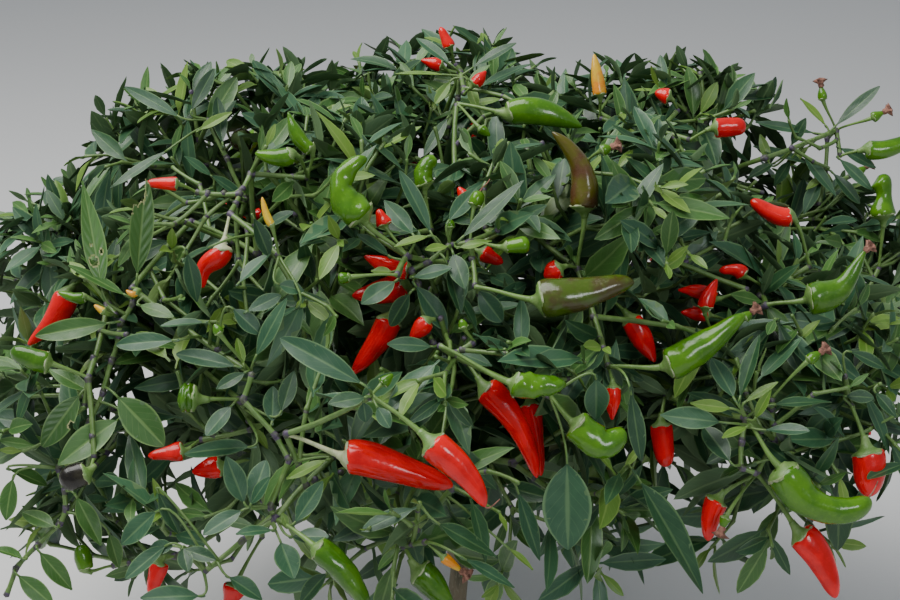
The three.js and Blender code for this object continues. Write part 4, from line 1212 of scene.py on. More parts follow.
# Leaves that the photograph shows one by one, star by star: where the blade's stalk begins and where
# its tip is, its width, and how much further from the camera its tip is than its foot
seen_leaves = {
    "front_star": [
        (434, 239, 399, 170, 7.5, 4), (456, 243, 524, 180, 7, -3), (446, 224, 476, 188, 7, 10),
        (432, 235, 394, 247, 5, -4), (450, 246, 425, 250, 4.5, -6), (456, 248, 492, 241, 5, -3),
        (416, 238, 384, 200, 7.5, 8), (412, 290, 390, 326, 8, 8), (452, 250, 465, 289, 8, -8),
        (447, 262, 461, 314, 8, -2), (468, 270, 496, 276, 7, 6), (476, 287, 502, 322, 9, 2),
        (409, 278, 452, 268, 7, -6), (399, 279, 361, 304, 9, -8), (392, 258, 357, 234, 9, 0),
        (394, 272, 371, 271, 4, 2), (436, 347, 387, 344, 7, -4), (412, 281, 447, 330, 9, 6),
        (452, 350, 492, 366, 6, -4), (452, 352, 480, 384, 7, 6),
    ],
    "left_star": [
        (253, 362, 287, 298, 7.5, -4), (242, 368, 176, 354, 8, 4), (248, 371, 216, 389, 5.5, -6),
        (244, 367, 237, 338, 4, 4), (234, 403, 206, 436, 9, -4), (272, 426, 273, 386, 8, 8),
        (280, 416, 294, 371, 7, 6), (257, 447, 184, 454, 13, 14), (252, 214, 269, 256, 7, 6),
        (236, 286, 271, 253, 7, 6), (230, 306, 260, 334, 7.5, 2), (276, 284, 304, 291, 6, 4),
        (244, 313, 281, 295, 6.5, 4), (186, 248, 197, 302, 7, 12), (208, 322, 160, 326, 7, 6),
        (180, 340, 116, 345, 8, 10), (212, 246, 182, 262, 6, 10), (300, 306, 268, 322, 7, 8),
    ],
    "low_star": [
        (246, 508, 226, 456, 9, -3), (249, 509, 266, 460, 9, 6), (249, 507, 270, 477, 6, -5),
        (246, 508, 203, 535, 8, -4), (276, 530, 236, 534, 6.5, -6), (292, 527, 323, 481, 8, 0),
        (288, 537, 329, 537, 7.5, -5), (279, 538, 294, 579, 10, -7), (288, 528, 282, 513, 3, 0),
        (331, 458, 286, 479, 5, 4), (160, 508, 121, 545, 9, 4), (156, 488, 179, 534, 6.7, 4),
        (170, 542, 125, 579, 8, 0), (206, 596, 140, 598, 9, -6), (225, 575, 262, 600, 8, 2),
        (330, 570, 300, 604, 8, 6), (180, 548, 216, 560, 6, -4), (182, 546, 188, 572, 6, -6),
        (176, 546, 150, 548, 6, 2),
    ],
    "left_sprout": [
        (104, 302, 82, 180, 9.5, 6), (136, 287, 146, 172, 10.5, -2), (131, 298, 68, 265, 7, -2),
        (116, 322, 35, 336, 9, -4), (136, 304, 174, 317, 6.5, -6), (94, 394, 49, 369, 8, 8),
        (84, 389, 42, 447, 10.5, -5), (112, 391, 164, 446, 14, -3), (125, 415, 58, 465, 12.5, -9),
        (74, 492, 101, 546, 8.5, -4), (108, 530, 119, 568, 7, 4), (6, 468, 48, 486, 8, 8),
        (14, 474, 6, 520, 8, 0), (58, 528, 22, 512, 8, 6), (36, 548, 72, 590, 8, 6),
        (26, 560, -8, 548, 7, 2), (14, 572, 54, 606, 8, 0),
    ],
    "hooked_green": [
        (738, 404, 760, 334, 7, 2), (742, 404, 778, 382, 3.8, 0), (754, 421, 771, 390, 4.2, -6),
        (735, 409, 690, 403, 5, -4), (727, 423, 660, 415, 9.5, 4), (749, 426, 722, 438, 4.6, -7),
        (760, 430, 810, 431, 6, -8), (768, 405, 832, 402, 7.5, 4), (736, 402, 712, 358, 9, 14),
        (733, 466, 704, 427, 9, 12),
    ],
    "curled_green": [
        (596, 374, 596, 420, 10, 8), (630, 386, 641, 461, 7, 4), (567, 452, 568, 550, 19, 5),
        (516, 485, 540, 561, 9.5, 6), (507, 547, 533, 570, 3.4, 0), (632, 468, 703, 594, 14, 8),
    ],
    "front_red": [
        (371, 389, 280, 338, 10, 6), (369, 397, 328, 404, 7.4, -4), (376, 405, 390, 428, 5.6, -4),
        (363, 400, 366, 422, 6, 2), (432, 520, 497, 557, 10, 8), (460, 556, 515, 588, 7.5, 4),
    ],
    "right_red": [
        (908, 462, 867, 479, 7, -12), (847, 350, 884, 368, 6, 2), (843, 396, 874, 398, 6, -2),
        (873, 390, 896, 417, 6, -2),
    ],
    "right_star": [
        (831, 130, 880, 86, 6.5, 2), (820, 134, 755, 122, 5.5, -3), (818, 166, 753, 146, 7.5, 2),
        (822, 176, 804, 214, 7, -2), (836, 146, 876, 168, 6, 3), (828, 128, 800, 98, 5, 4),
        (830, 170, 860, 204, 6, 2), (792, 158, 774, 186, 6, 4), (826, 174, 806, 190, 5, -2),
        (836, 156, 872, 190, 6, -4), (790, 148, 806, 118, 6, -4), (800, 150, 836, 196, 6.5, -6),
        (776, 162, 748, 178, 6, -4), (770, 166, 760, 134, 5, 0), (812, 144, 784, 168, 5, 4),
    ],
    "back_star": [
        (468, 71, 516, 43, 6, 4), (474, 90, 531, 64, 6.5, 6), (453, 66, 416, 38, 6.5, 8),
        (448, 75, 395, 74, 4.5, 2), (466, 77, 478, 109, 5, -5), (461, 107, 500, 99, 4.5, 0),
        (452, 79, 435, 104, 5, -4), (450, 114, 424, 156, 6, -5),
    ],
    "back_left_star": [
        (184, 120, 125, 87, 6.5, 4), (189, 115, 214, 69, 6.5, 6), (172, 147, 110, 188, 5.5, -3),
        (223, 148, 217, 97, 7, 8), (236, 201, 175, 198, 6, 0), (228, 212, 186, 231, 6, -4),
        (196, 132, 232, 112, 5, 4), (246, 200, 212, 176, 7, -6), (250, 184, 284, 160, 7, -4),
        (214, 178, 184, 156, 6, -4), (240, 232, 206, 247, 7, -8), (262, 228, 294, 212, 6.5, -6),
        (233, 250, 252, 278, 6.5, -6), (214, 214, 202, 242, 6, -8), (198, 194, 166, 216, 6.5, -6),
        (184, 212, 150, 222, 6, -2),
    ],
}
EATEN = [("left_sprout", 0), ("left_sprout", 1), ("left_sprout", 6)]  # holed, bitten and nibbled
SEEN_LIFT = 4.5  # how far in front of its joint a seen leaf starts
GREETING = 0.85  # how much the upper side of a seen leaf turns towards the light above the camera

draw = np.random.default_rng(SEED + 1)
seen_rows, seen_name = [], []
for name, leaves in seen_leaves.items():
    depth = seen_at(joints[name]["node"])[1] - SEEN_LIFT
    for i, (*place, leaf_width, further) in enumerate(leaves):
        seen_rows.append([sighted(place[:2], depth), sighted(place[2:], depth + further), leaf_width])
        seen_name.append((name, i))
seen_foot, seen_tip, seen_width = [np.array(column, float) for column in zip(*seen_rows)]
greeting = unit(EYE - seen_foot) * (1 - GREETING / 2) + UP * GREETING
seen_above = greeting + draw.normal(0, 0.22, seen_foot.shape)
seen_droop = draw.uniform(-0.02, 0.1, len(seen_foot))
along = unit(seen_tip - seen_foot)
raised_by = unit(seen_above - (seen_above * along).sum(-1, keepdims=True) * along) * seen_droop[:, None]
seen_aim = seen_tip + raised_by * lengths(seen_tip - seen_foot)[:, None]
seen_length = lengths(seen_aim - seen_foot)
seen_way = unit(seen_aim - seen_foot)

# A leaf is left out where it would grow into a limb or a chilli, or would hide what the photograph
# shows in front
CLEAR_OF = 1.2
SIDE_SHARE = 0.25  # of the leaf's width, which it keeps off a pod as well
BLADE_SHARE = 0.36  # of a seen leaf's width, on either side of its midrib, that others don't hide
STEM_HALF = 1.2  # half the width that is kept in view of a stem that shows
HIDING_SHARE = 0.3  # of a leaf's width, on either side of its midrib, that can hide others
pod_rods = [rod for chilli in chillies + hidden_chillies for rod in pod_pieces(chilli)]
for rods, share in ((limb_rods, 0), (pod_rods, SIDE_SHARE)):
    rod_a, rod_b, rod_radius = columns(rods, "a", "b", "radius")
    apart = gaps(foot[:, None], tips[:, None], rod_a[None], rod_b[None]) - rod_radius
    kept &= (apart > CLEAR_OF + share * width[:, None]).all(-1)
fronts += [[a, b, w * BLADE_SHARE] for a, b, w in seen_rows]
fronts += [[t["a"], t["b"], STEM_HALF] for t in twigs if t.get("stem")]
kept &= ~hides(foot, tips, width * HIDING_SHARE)

# Which surface each leaf wears: one for each spray, but the young tips in the light are yellow-green
DARK, BLUE_GREEN, MID_GREEN, YOUNG, UNDER, YOUNG_UNDER, DRY = range(7)
young = age < 0.35
kind = np.where(spray < 0.36, DARK, np.where(spray < 0.72, BLUE_GREEN, MID_GREEN))
kind[young & (out_by > 0.5)] = MID_GREEN
kind[young & (out_by > 0.5) & (spray > 0.62)] = YOUNG
kind[(spray > 0.965) & (out_by > 0.6)] = YOUNG
leaf_facts = leaf_rows(foot, way, above, length, width, draw)

# The pattern of a blade: a pale midrib and fainter side veins, a pale rim, and a tint of its own
blade, given, gives = new_group(
    "leaf_blade",
    {
        "Blade": (0.03, 0.07, 0.04, 1),
        "Other Blade": (0.04, 0.09, 0.03, 1),
        "Vein": (0.1, 0.16, 0.06, 1),
        "Vein Share": 0.6,
        "Rim Share": 0.5,
    },
    {"Colour": 4, "Height": 1, "Cloud": 1},
)
on_leaf = node(blade, "ShaderNodeAttribute", attribute_name="place", attribute_type="GEOMETRY")
along, beside, tint = node(blade, "ShaderNodeSeparateXYZ", {0: on_leaf.outputs["Vector"]}).outputs
from_rib = maths(blade, "ABSOLUTE", maths(blade, "SUBTRACT", beside, 0.5))
midrib = spread(blade, from_rib, 0.07, 0.02)
rim = spread(blade, from_rib, 0.42, 0.475)
slanted = maths(blade, "MULTIPLY_ADD", from_rib, -9.0, maths(blade, "MULTIPLY", along, 16.0))
side_vein = spread(blade, maths(blade, "PINGPONG", slanted, 1.0), 0.13, 0.03, 0, 0.35)
veins = maths(blade, "MAXIMUM", midrib, side_vein)
vein_share = maths(blade, "MULTIPLY", veins, given["Vein Share"])
rim_share = maths(blade, "MULTIPLY", rim, given["Rim Share"])
where = node(blade, "ShaderNodeTexCoord").outputs["Object"]
cloud = node(blade, "ShaderNodeTexNoise", {"Vector": where, "Scale": 170.0, "Detail": 4.0}).outputs[0]
clouded = spread(blade, maths(blade, "ADD", cloud, tint), 0.55, 1.45)
coloured = mixed(blade, clouded, given["Blade"], given["Other Blade"])
coloured = mixed(blade, vein_share, coloured, given["Vein"])
coloured = mixed(blade, rim_share, coloured, given["Vein"])
blade.links.new(coloured, gives["Colour"])
blade.links.new(maths(blade, "MULTIPLY_ADD", veins, -1.0, cloud), gives["Height"])
blade.links.new(cloud, gives["Cloud"])


def leaf_material(name, colours, roughness, shares, relief=0.05):
    """One kind of leaf surface: two shades of its blade that leaves differ by, its veins' colour, and
    how much its veins and its rim show."""
    one, other, vein = [(*colour, 1) for colour in colours]
    values = {"Blade": one, "Other Blade": other, "Vein": vein}
    values.update({"Vein Share": shares[0], "Rim Share": shares[1]})
    follows = ("Cloud", 0.3, 0.7, roughness - 0.08, roughness + 0.1)
    return surfaced(name, blade, values, roughness, follows, relief, specular_ior_level=0.4)


# Each surface's two shades and the colour of its veins, how rough it is, and how much its veins and
# its rim show
LEAF_SURFACES = {
    "leaf_dark": [[(0.014, 0.052, 0.02), (0.024, 0.078, 0.028), (0.13, 0.23, 0.08)], 0.4, (0.35, 0.5)],
    "leaf_blue_green": [
        [(0.022, 0.073, 0.034), (0.038, 0.108, 0.048), (0.16, 0.27, 0.11)], 0.42, (0.35, 0.5),
    ],
    "leaf_mid_green": [[(0.034, 0.1, 0.018), (0.056, 0.145, 0.028), (0.2, 0.32, 0.1)], 0.4, (0.4, 0.5)],
    "leaf_young": [[(0.075, 0.165, 0.018), (0.12, 0.22, 0.03), (0.26, 0.36, 0.09)], 0.42, (0.4, 0.4), 0.04],
    "leaf_under": [[(0.06, 0.12, 0.05), (0.085, 0.155, 0.06), (0.15, 0.23, 0.1)], 0.6, (0.6, 0.3)],
    "leaf_young_under": [[(0.09, 0.17, 0.04), (0.13, 0.22, 0.055), (0.2, 0.29, 0.1)], 0.55, (0.6, 0.3)],
}
LEAF_CREASE = 70  # degrees, past which a leaf's edge stays sharp
leaf_materials = [leaf_material(name, *facts) for name, facts in LEAF_SURFACES.items()]


def leaf_piece(name, built, kinds, stands_for):
    """A piece of many leaves, whose upper sides wear their own kind and whose undersides a paler one."""
    points, faces, place, is_below = built
    under_kind = np.where(kinds == YOUNG, YOUNG_UNDER, UNDER)
    sides = np.tile(is_below, len(faces[0]) // len(is_below))
    fans = np.tile(is_below, 2)
    worn = [np.where(part[None], under_kind[:, None], kinds[:, None]).ravel() for part in (sides, fans)]
    worn = np.concatenate(worn)
    points, faces = repeated(points, faces)
    piece(name, points, faces, leaf_materials, "foliage", stands_for, worn, place, LEAF_CREASE)


is_lower = np.array([mass["name"] in lower_names for mass in masses])[leaf_mass]
leaf_groups = {
    "leaves_lower": (is_lower & ~is_inner, lower_names),
    "leaves_upper": (~is_lower & ~is_inner, upper_names),
    "leaves_inner": (is_inner, all_names),
}
for name, (chosen, names) in leaf_groups.items():
    picked = kept & chosen
    facts = [fact[picked] for fact in leaf_facts]
    leaf_piece(name, blades(facts, LEAF_STATIONS, 2, 2), kind[picked], names)

# The seen leaves' own mesh: in finer steps than the others, puckered between the side veins, and
# folded and tinted a little less. The narrowest are young, and those of the left sprout mid green.
FOLD, DROOP, TINT = 5, 6, 8  # the places of these among the facts of leaf_rows()
is_eaten = np.array([name in EATEN for name in seen_name])
seen_kind = np.where(draw.uniform(0, 1, len(seen_width)) < 0.55, BLUE_GREEN, DARK)
seen_kind[seen_width < 5.2] = YOUNG
seen_kind[[name == "left_sprout" for name, _ in seen_name]] = MID_GREEN
seen_facts = leaf_rows(seen_foot, seen_way, seen_above, seen_length, seen_width, draw)
seen_facts[FOLD] *= 0.65
seen_facts[DROOP] = seen_droop
seen_facts[TINT] *= 0.6
seen_facts[TINT][seen_name.index(EATEN[0])] = 1.1
whole = [fact[~is_eaten] for fact in seen_facts]
leaf_piece("leaves_seen", blades(whole, SEEN_LEAF_STATIONS, 8, 4, 0.18), seen_kind[~is_eaten], all_names)

# Eaten leaves: the same blade in small cells, of which those that an insect took are missing. One
# leaf has holes near its foot, one has lost the left half of its tip, and one is nibbled at its edge.
# The cells round a hole are dry and pale.
EATEN_STATIONS = np.concatenate([np.linspace(0.015, 0.17, 8), np.linspace(0.19, 0.985, 54)])
EATEN_STEPS = 20
HOLES = [(0.33, -0.3, 0.04, 0.4), (0.46, -0.25, 0.012, 0.1), (0.4, 0.5, 0.018, 0.16)]
DRY_DEPTH = 0.75  # how near to a hole a cell is dry
# The neighbours of a cell, each with the two corners of the wall between it and the cell
NEIGHBOURS = [((-1, 0), (0, 1), (0, 0)), ((1, 0), (1, 0), (1, 1))]
NEIGHBOURS += [((0, -1), (0, 0), (1, 0)), ((0, 1), (1, 1), (0, 1))]
along = (EATEN_STATIONS[1:] + EATEN_STATIONS[:-1])[:, None] / 2
across = ((np.arange(EATEN_STEPS) + 0.5) / EATEN_STEPS * 2 - 1)[None]
ragged = 0.06 * np.sin(31 * along + 9 * across) + 0.04 * np.sin(57 * along)
round_hole = np.min([((along - a) / r) ** 2 + ((across - c) / w) ** 2 for a, c, r, w in HOLES], axis=0)
bite = np.minimum((along - 0.76 - 0.08 * across - ragged * 0.5) / 0.03, (0.2 - across + ragged * 2) / 0.1)
bite = np.maximum(bite, (along - 0.94) / 0.03 + across)
nibble = 1 - ((along - 0.52) / 0.05) ** 2 - ((across + 1) / (0.4 + ragged)) ** 2
taken_by = [1 - round_hole, bite, nibble]


def eaten_leaf(facts, depth):
    """The points, faces and dry cells of a leaf whose cells with a depth above 0 are missing: the cells
    left of the upper and the under side, and a wall from one to the other where they end."""
    points, _, place, _ = blades(facts, EATEN_STATIONS, EATEN_STEPS, EATEN_STEPS, 0.1)
    n = EATEN_STEPS
    ring, column = np.meshgrid(np.arange(len(EATEN_STATIONS)), np.arange(n + 1), indexing="ij")
    top = ring * 2 * n + np.where(column < n, n + column, 0)
    under = ring * 2 * n + np.where(column > 0, n - column, n)
    left = depth <= 0

    def cells(grid, flip):
        corners = [grid[:-1, :-1], grid[:-1, 1:], grid[1:, 1:], grid[1:, :-1]]
        return np.stack(corners[::-1] if flip else corners, axis=-1)

    faces = [cells(top, False)[left], cells(under, True)[left]]
    is_dry = depth[left] > -DRY_DEPTH
    worn = [np.where(is_dry, DRY, MID_GREEN), np.where(is_dry, DRY, UNDER)]
    padded = np.pad(left, 1)
    rows, cols = left.shape
    for (row_step, col_step), a, b in NEIGHBOURS:
        beyond = padded[1 + row_step : 1 + row_step + rows, 1 + col_step : 1 + col_step + cols]
        i, j = np.nonzero(left & ~beyond)
        first, second = (i + a[0], j + a[1]), (i + b[0], j + b[1])
        wall = np.stack([top[first], top[second], under[second], under[first]], axis=-1)
        wall = wall[(wall[:, 0] != wall[:, 3]) & (wall[:, 1] != wall[:, 2])]
        faces.append(wall)
        worn.append(np.full(len(wall), DRY))
    foot_ring = np.arange(2 * n)
    fan = np.stack([np.full(2 * n, points.shape[1] - 2), (foot_ring + 1) % (2 * n), foot_ring], axis=-1)
    return [points[0], np.concatenate(faces), fan, np.concatenate(worn), place]


dry_colours = [(0.33, 0.34, 0.16), (0.2, 0.25, 0.08), (0.22, 0.13, 0.06)]
dry_edge = patchy("dry_leaf_edge", dry_colours, roughness=0.75, scale=500, relief=0.1)
eaten, count = [], 0
for name, depth in zip(EATEN, taken_by):
    i = seen_name.index(name)
    leaf = eaten_leaf([fact[i : i + 1] for fact in seen_facts], depth)
    leaf[1] += count
    leaf[2] += count
    count += len(leaf[0])
    eaten.append(leaf)
points, quads, fans, worn, place = [np.concatenate(parts) for parts in zip(*eaten)]
worn = np.concatenate([worn, np.full(len(fans), MID_GREEN)])
paints = leaf_materials + [dry_edge]
piece("leaves_eaten", points, [quads, fans], paints, "foliage", all_names, worn, place, LEAF_CREASE)

# The twigs' own bodies: round green shoots that swell where they meet, with a purple band at each node.
# Bare shoots are left out, so that each shoot that shows ends in leaves or in fruit.
BARE_WITHIN = 4.5
MEETING_WITHIN = 0.5
BARE_ROUNDS = 3
NODE_BANDS = [1, 1, 0, 0, 0, 1]  # which bands of a twig are purple, from its foot to its tip
carried = np.array([chilli["node"] for chilli in chillies + hidden_chillies])
feet = np.concatenate([foot[kept], seen_foot, carried])
for _ in range(BARE_ROUNDS):
    a, b = columns(twigs, "a", "b")
    leafy = np.array([lengths(feet - end).min() < BARE_WITHIN for end in b])
    carries = np.array([lengths(a - end).min() < MEETING_WITHIN for end in b])
    older_ones = np.array([twig["level"] < 3 or twig.get("seen", False) for twig in twigs])
    twigs = [twig for twig, stays in zip(twigs, leafy | carries | older_ones) if stays]


def twig_bodies(rows, seed):
    """Twigs as tubes: each row of middles bows a little to one side between its straight ends, starts
    sunk in its parent, and its radius falls evenly but for a swelling at each end."""
    draw = np.random.default_rng(seed)
    a, b, way, radius, end_radius = columns(rows, "a", "b", "way", "radius", "end_radius")
    length = lengths(b - a)
    shares = np.array([0, 0, 0, 0.35, 0.7, 1, 1]) + np.array([-0.4, 0.7, 2, 0, 0, -1.5, 0]) / length[:, None]
    bow = tilted(way, draw.uniform(0, 360, len(rows)), np.full(len(rows), 90.0))
    bow *= (length * draw.uniform(0.01, 0.05, len(rows)))[:, None]
    middles = a[:, None] + (b - a)[:, None] * shares[..., None]
    middles += bow[:, None] * (4 * shares * (1 - shares))[..., None]
    swollen = 1 + NODE_SWELLING * np.array([1, 0.8, 0.1, 0, 0, 0.5, 0.8])
    radii = (radius[:, None] + (end_radius - radius)[:, None] * shares) * swollen
    return tubes(middles, radii, TWIG_SIDES, blunt=0.5)


shoot_colours = [(0.085, 0.17, 0.035), (0.13, 0.21, 0.06), (0.06, 0.1, 0.03)]
twig_green = patchy("green_shoot", shoot_colours, roughness=0.42, scale=300, relief=0.06, shares=(0.8, 0.4))
node_colours = [(0.07, 0.05, 0.09), (0.06, 0.075, 0.035), (0.03, 0.02, 0.05)]
node_purple = patchy("purple_node", node_colours, roughness=0.45, scale=500, relief=0.1)
points, faces = repeated(*twig_bodies(twigs, 11))
dark_noded = np.array([twig["level"] < 5 or twig.get("stem", False) for twig in twigs])
bands = np.repeat(NODE_BANDS, TWIG_SIDES) * dark_noded[:, None]
worn = np.concatenate([bands.ravel(), np.repeat(dark_noded, 2 * TWIG_SIDES)])
piece("twigs", points, faces, [twig_green, node_purple], "young_bark", all_names, worn)

# The stalks of the leaves that show: thin green stems, one for each leaf, that bend from the nearest
# place on a twig into the foot of its blade
PETIOLE_RADIUS = 0.5
SEEN_PULL = 0.45  # how much nearer a stem that shows counts than another one


def curves(ends, shares):
    """Points at the same shares of many cubic curves, curve by curve."""
    return np.moveaxis(bezier(ends[:, None], shares[:, None]), 0, 1)


a, b = columns(twigs, "a", "b")
counts_as = np.array([SEEN_PULL if twig.get("seen") else 1 for twig in twigs])
share = np.clip(((seen_foot[:, None] - a) * (b - a)).sum(-1) / ((b - a) ** 2).sum(-1), 0, 1)
nearest = a + share[..., None] * (b - a)
best = np.argmin(lengths(seen_foot[:, None] - nearest) * counts_as, axis=1)
anchor = nearest[np.arange(len(seen_foot)), best]
reach = lengths(seen_foot - anchor)[:, None]
risen = anchor + (seen_foot - anchor) * 0.4 + UP * reach * 0.08
into = seen_foot + seen_way * seen_length[:, None] * 0.12
shares = np.linspace(0, 1, 9)
middles = curves(np.stack([anchor, risen, seen_foot - seen_way * reach * 0.25, into]), shares)
radii = PETIOLE_RADIUS * (1.5 - 0.6 * shares**0.5) * np.ones((len(seen_foot), 1))
piece("leaf_stalks", *repeated(*tubes(middles, radii, 8)), [twig_green], "foliage", all_names)

# Chillies: glossy closed pods with a firm shoulder that run out to a blunt or drawn-out tip, some
# curled or knobbly. They ripen from green through brown and orange to red. Each hangs or stands on
# a stalk that thickens towards a cup with five teeth, and buds still carry their dried blossom.
GRIDS = {"seen": {"pod": (30, 28), "cup": 20, "stalk": (12, 16)}}  # rings and sides, and so on
GRIDS["elsewhere"] = {"pod": (14, 12), "cup": 10, "stalk": (7, 9)}
CALYX_RUN = [-5.5, -4.2, -3.0, -2.0, -1.1, -0.3, 0.5, 1.2, 1.9]  # millimetres from the shoulder
CALYX_RADII = [1.4, 1.55, 1.8, 2.1, 2.6, 3.3, 3.6, 3.6, 3.6]
# How long the cup is on its stalk's side, where it is shorter than on the others
SHORT_CUPS = {"hooked_green": 0.12, "bottom_green": 0.3, "curled_green": 0.35, "slim_green": 0.4}
SHORT_CUPS.update(rising_green=0.3, twisted_green=0.4, long_red=0.5, upper_left_red=0.5, left_green=0.4)
SHORT_CUPS.update(dark_pod=0.45, knobbly_green=0.6, brown_upright=0.6)
STALK_RADII = (0.75, 1.6)
CREAM_CUPS = ("long_red", "leaning_red")
PLAIN_GIRTH = (0.92, 1, 0.86, 0.62, 0.32)
PLAIN_KNOBS = 0.015
# The skins of the pods that are neither plain red nor plain green, and how often each of the first five
# is dealt to a pod that the photograph doesn't show
OTHER_SKINS = {
    "olive": ["dark_pod"],
    "brown": ["brown_upright"],
    "orange": ["orange_bud", "dry_low_bud"],
    "yellow": ["yellow_thin", "wilted_yellow", "second_yellow"],
    "dark": ["black_pod"],
    "deep_green": ["low_back_green", "left_green", "round_green", "bottom_green", "rising_green"],
}
skin_of = {name: label for label, names in OTHER_SKINS.items() for name in names}
DEALT_SHARES = [0.48, 0.38, 0.06, 0.05, 0.03]

# What turns five values, evenly from shoulder to tip, into the curve of the fourth degree through them
FIVE = np.linalg.inv(np.vander(np.linspace(0, 1, 5), 5, increasing=True))


def pod_middle(rows, s):
    """The middle of each pod at s: the curve of the fourth degree through its five points."""
    weights = s[..., None] ** np.arange(5) @ FIVE
    return weights @ np.array([row["line"] for row in rows])


def pod_radius(rows, s):
    """The radius of each pod at s: its girth there, times a shoulder (1 - e^(-s/0.02))^0.5 and a round
    tip (1 - s^12)^0.5."""
    weights = s[..., None] ** np.arange(5) @ FIVE
    girth = (weights * np.array([row["girth"] for row in rows])[:, None]).sum(-1)
    half = columns(rows, "width")[0][:, None] / 2
    return half * girth * np.sqrt(1 - np.exp(-s / 0.02)) * np.sqrt(1 - s**12)


def pods(rows, rings, sides, draw):
    """The pods, each a little flattened and lobed, with knobs where it has them."""
    s = np.broadcast_to((1 - np.cos(np.pi * np.linspace(0.035, 0.985, rings))) / 2, (len(rows), rings))
    turn = 2 * np.pi * np.arange(sides) / sides
    p = draw.uniform(0, 6.3, (5, len(rows), 1, 1))
    along = s[..., None]
    lobes = 0.035 * np.cos(2 * turn + p[0]) + 0.025 * np.cos(3 * turn + p[1] + 2 * along)
    knobs = np.sin(15 * along + 2 * turn + p[2]) + 0.7 * np.sin(24 * along - 3 * turn + p[3])
    knobs = (knobs + 0.6 * np.sin(9 * along + turn + p[4])) * columns(rows, "knobs")[0][:, None, None]
    radii = pod_radius(rows, s)[..., None] * (1 + lobes + knobs / 2)
    points, faces = tubes(pod_middle(rows, s), radii, sides, blunt=0.3)
    along = np.concatenate([np.repeat(s[0], sides), [0, 1]])
    around = np.concatenate([np.tile(np.arange(sides) / sides, rings), [0.5, 0.5]])
    tint = draw.uniform(0, 1, (len(rows), 1))
    place = np.stack(np.broadcast_arrays(along, around, tint), axis=-1).reshape(-1, 3)
    return points, faces, place


def stalk_facts(rows):
    """Where each stalk starts, where it meets its pod, and the way in which it gets there, which lies
    between the stalk's own way and the pod's."""
    node_at, start, tip = columns(rows, "node", "from", "to")
    return node_at, start, unit(unit(start - node_at) * 0.55 + unit(tip - start) * 0.45)


def cups(rows, sides):
    """The calyxes: a cup that flares from the stalk and lies on the pod's shoulder. Its rim stands off
    the pod by 0.5 at five teeth, and sinks into it between them."""
    node_at, start, way = stalk_facts(rows)
    length = lengths(columns(rows, "to")[0] - start)[:, None]
    size = np.clip(columns(rows, "width")[0] / 12, 0.4, 1.1)[:, None]
    short = np.array([SHORT_CUPS.get(row["name"], 1) for row in rows])[:, None]
    run = np.array(CALYX_RUN) * size
    run = np.where(run < 0, run * short, run)
    before = start[:, None] + way[:, None] * run[..., None]
    on_pod = pod_middle(rows, np.clip(run / length, 0, 0.4))
    middles = np.where((run < 0)[..., None], before, on_pod)
    on_shoulder = pod_radius(rows, np.clip(run / length, 0, 0.4)) + 0.4 * size
    base = np.array(CALYX_RADII) * size
    radii = np.where(run < 0.5 * size, base, np.maximum(on_shoulder, base * (run < 0.8 * size)))[..., None]
    teeth = np.cos(5 * 2 * np.pi * np.arange(sides) / sides)
    depth = np.array([0, 0, 0, 0, 0, 0, 0, 0.25, 0.8])[:, None] * size[..., None]
    return tubes(middles, radii - depth * (0.9 - teeth) / 1.2, sides, blunt=0.0)


def stalks(rows, sides, rings):
    """The stalks: each leaves its joint straight, bends into its pod's way, and thickens by the cube of
    the way along."""
    node_at, start, way = stalk_facts(rows)
    reach = lengths(start - node_at)[:, None]
    bowed = node_at + (start - node_at) * 0.36 + UP * reach * 0.05
    shares = np.linspace(0.0, 1, rings)
    middles = curves(np.stack([node_at, bowed, start - way * reach * 0.3, start]), shares)
    size = np.clip(columns(rows, "width")[0] / 12, 0.5, 1.1)[:, None]
    low, high = STALK_RADII
    radii = size**0.5 * (low + (high - low) * shares**3 + 0.5 * np.exp(-shares / 0.05))
    return tubes(middles, radii, sides)


def dealt(bodies, faces, bands=0):
    """The material of every face of many like bodies: each body's own number, to which bands adds one
    for each face of a body's rings."""
    bodies = np.asarray(bodies)[:, None]
    rings, fans = [np.zeros(len(part), int) for part in faces]
    return np.concatenate([(bodies + rings + bands).ravel(), (bodies + fans).ravel()])


def skin(name, one, other, fleck, roughness=0.2, scale=110):
    """The waxed skin of a fruit: two shades in soft patches, fine flecks, and a clear coat."""
    coat = {"coat_weight": 0.3, "coat_roughness": 0.09, "specular_ior_level": 0.28}
    return patchy(name, [one, other, fleck], roughness, scale, 0.1, shares=(0.9, 0.25), **coat)


# Each skin's two shades and its flecks, and how rough it is
SKINS = {
    "ripe_red": [(0.7, 0.0005, 0.002), (0.5, 0.0005, 0.002), (0.8, 0.006, 0.004)],
    "green": [(0.07, 0.19, 0.004), (0.042, 0.135, 0.004), (0.12, 0.27, 0.015)],
    "olive": [(0.05, 0.09, 0.006), (0.055, 0.038, 0.012), (0.1, 0.12, 0.02)],
    "brown": [(0.075, 0.07, 0.006), (0.075, 0.03, 0.014), (0.12, 0.06, 0.03), 0.25],
    "orange": [(0.7, 0.24, 0.01), (0.6, 0.38, 0.02), (0.4, 0.1, 0.01), 0.3],
    "yellow": [(0.62, 0.42, 0.02), (0.66, 0.26, 0.01), (0.4, 0.3, 0.04), 0.35],
    "dark": [(0.008, 0.006, 0.004), (0.018, 0.015, 0.005), (0.03, 0.024, 0.01), 0.3],
    "deep_green": [(0.035, 0.115, 0.004), (0.06, 0.16, 0.006), (0.1, 0.22, 0.02)],
}
skins = [skin(f"{name}_skin", *facts) for name, facts in SKINS.items()]
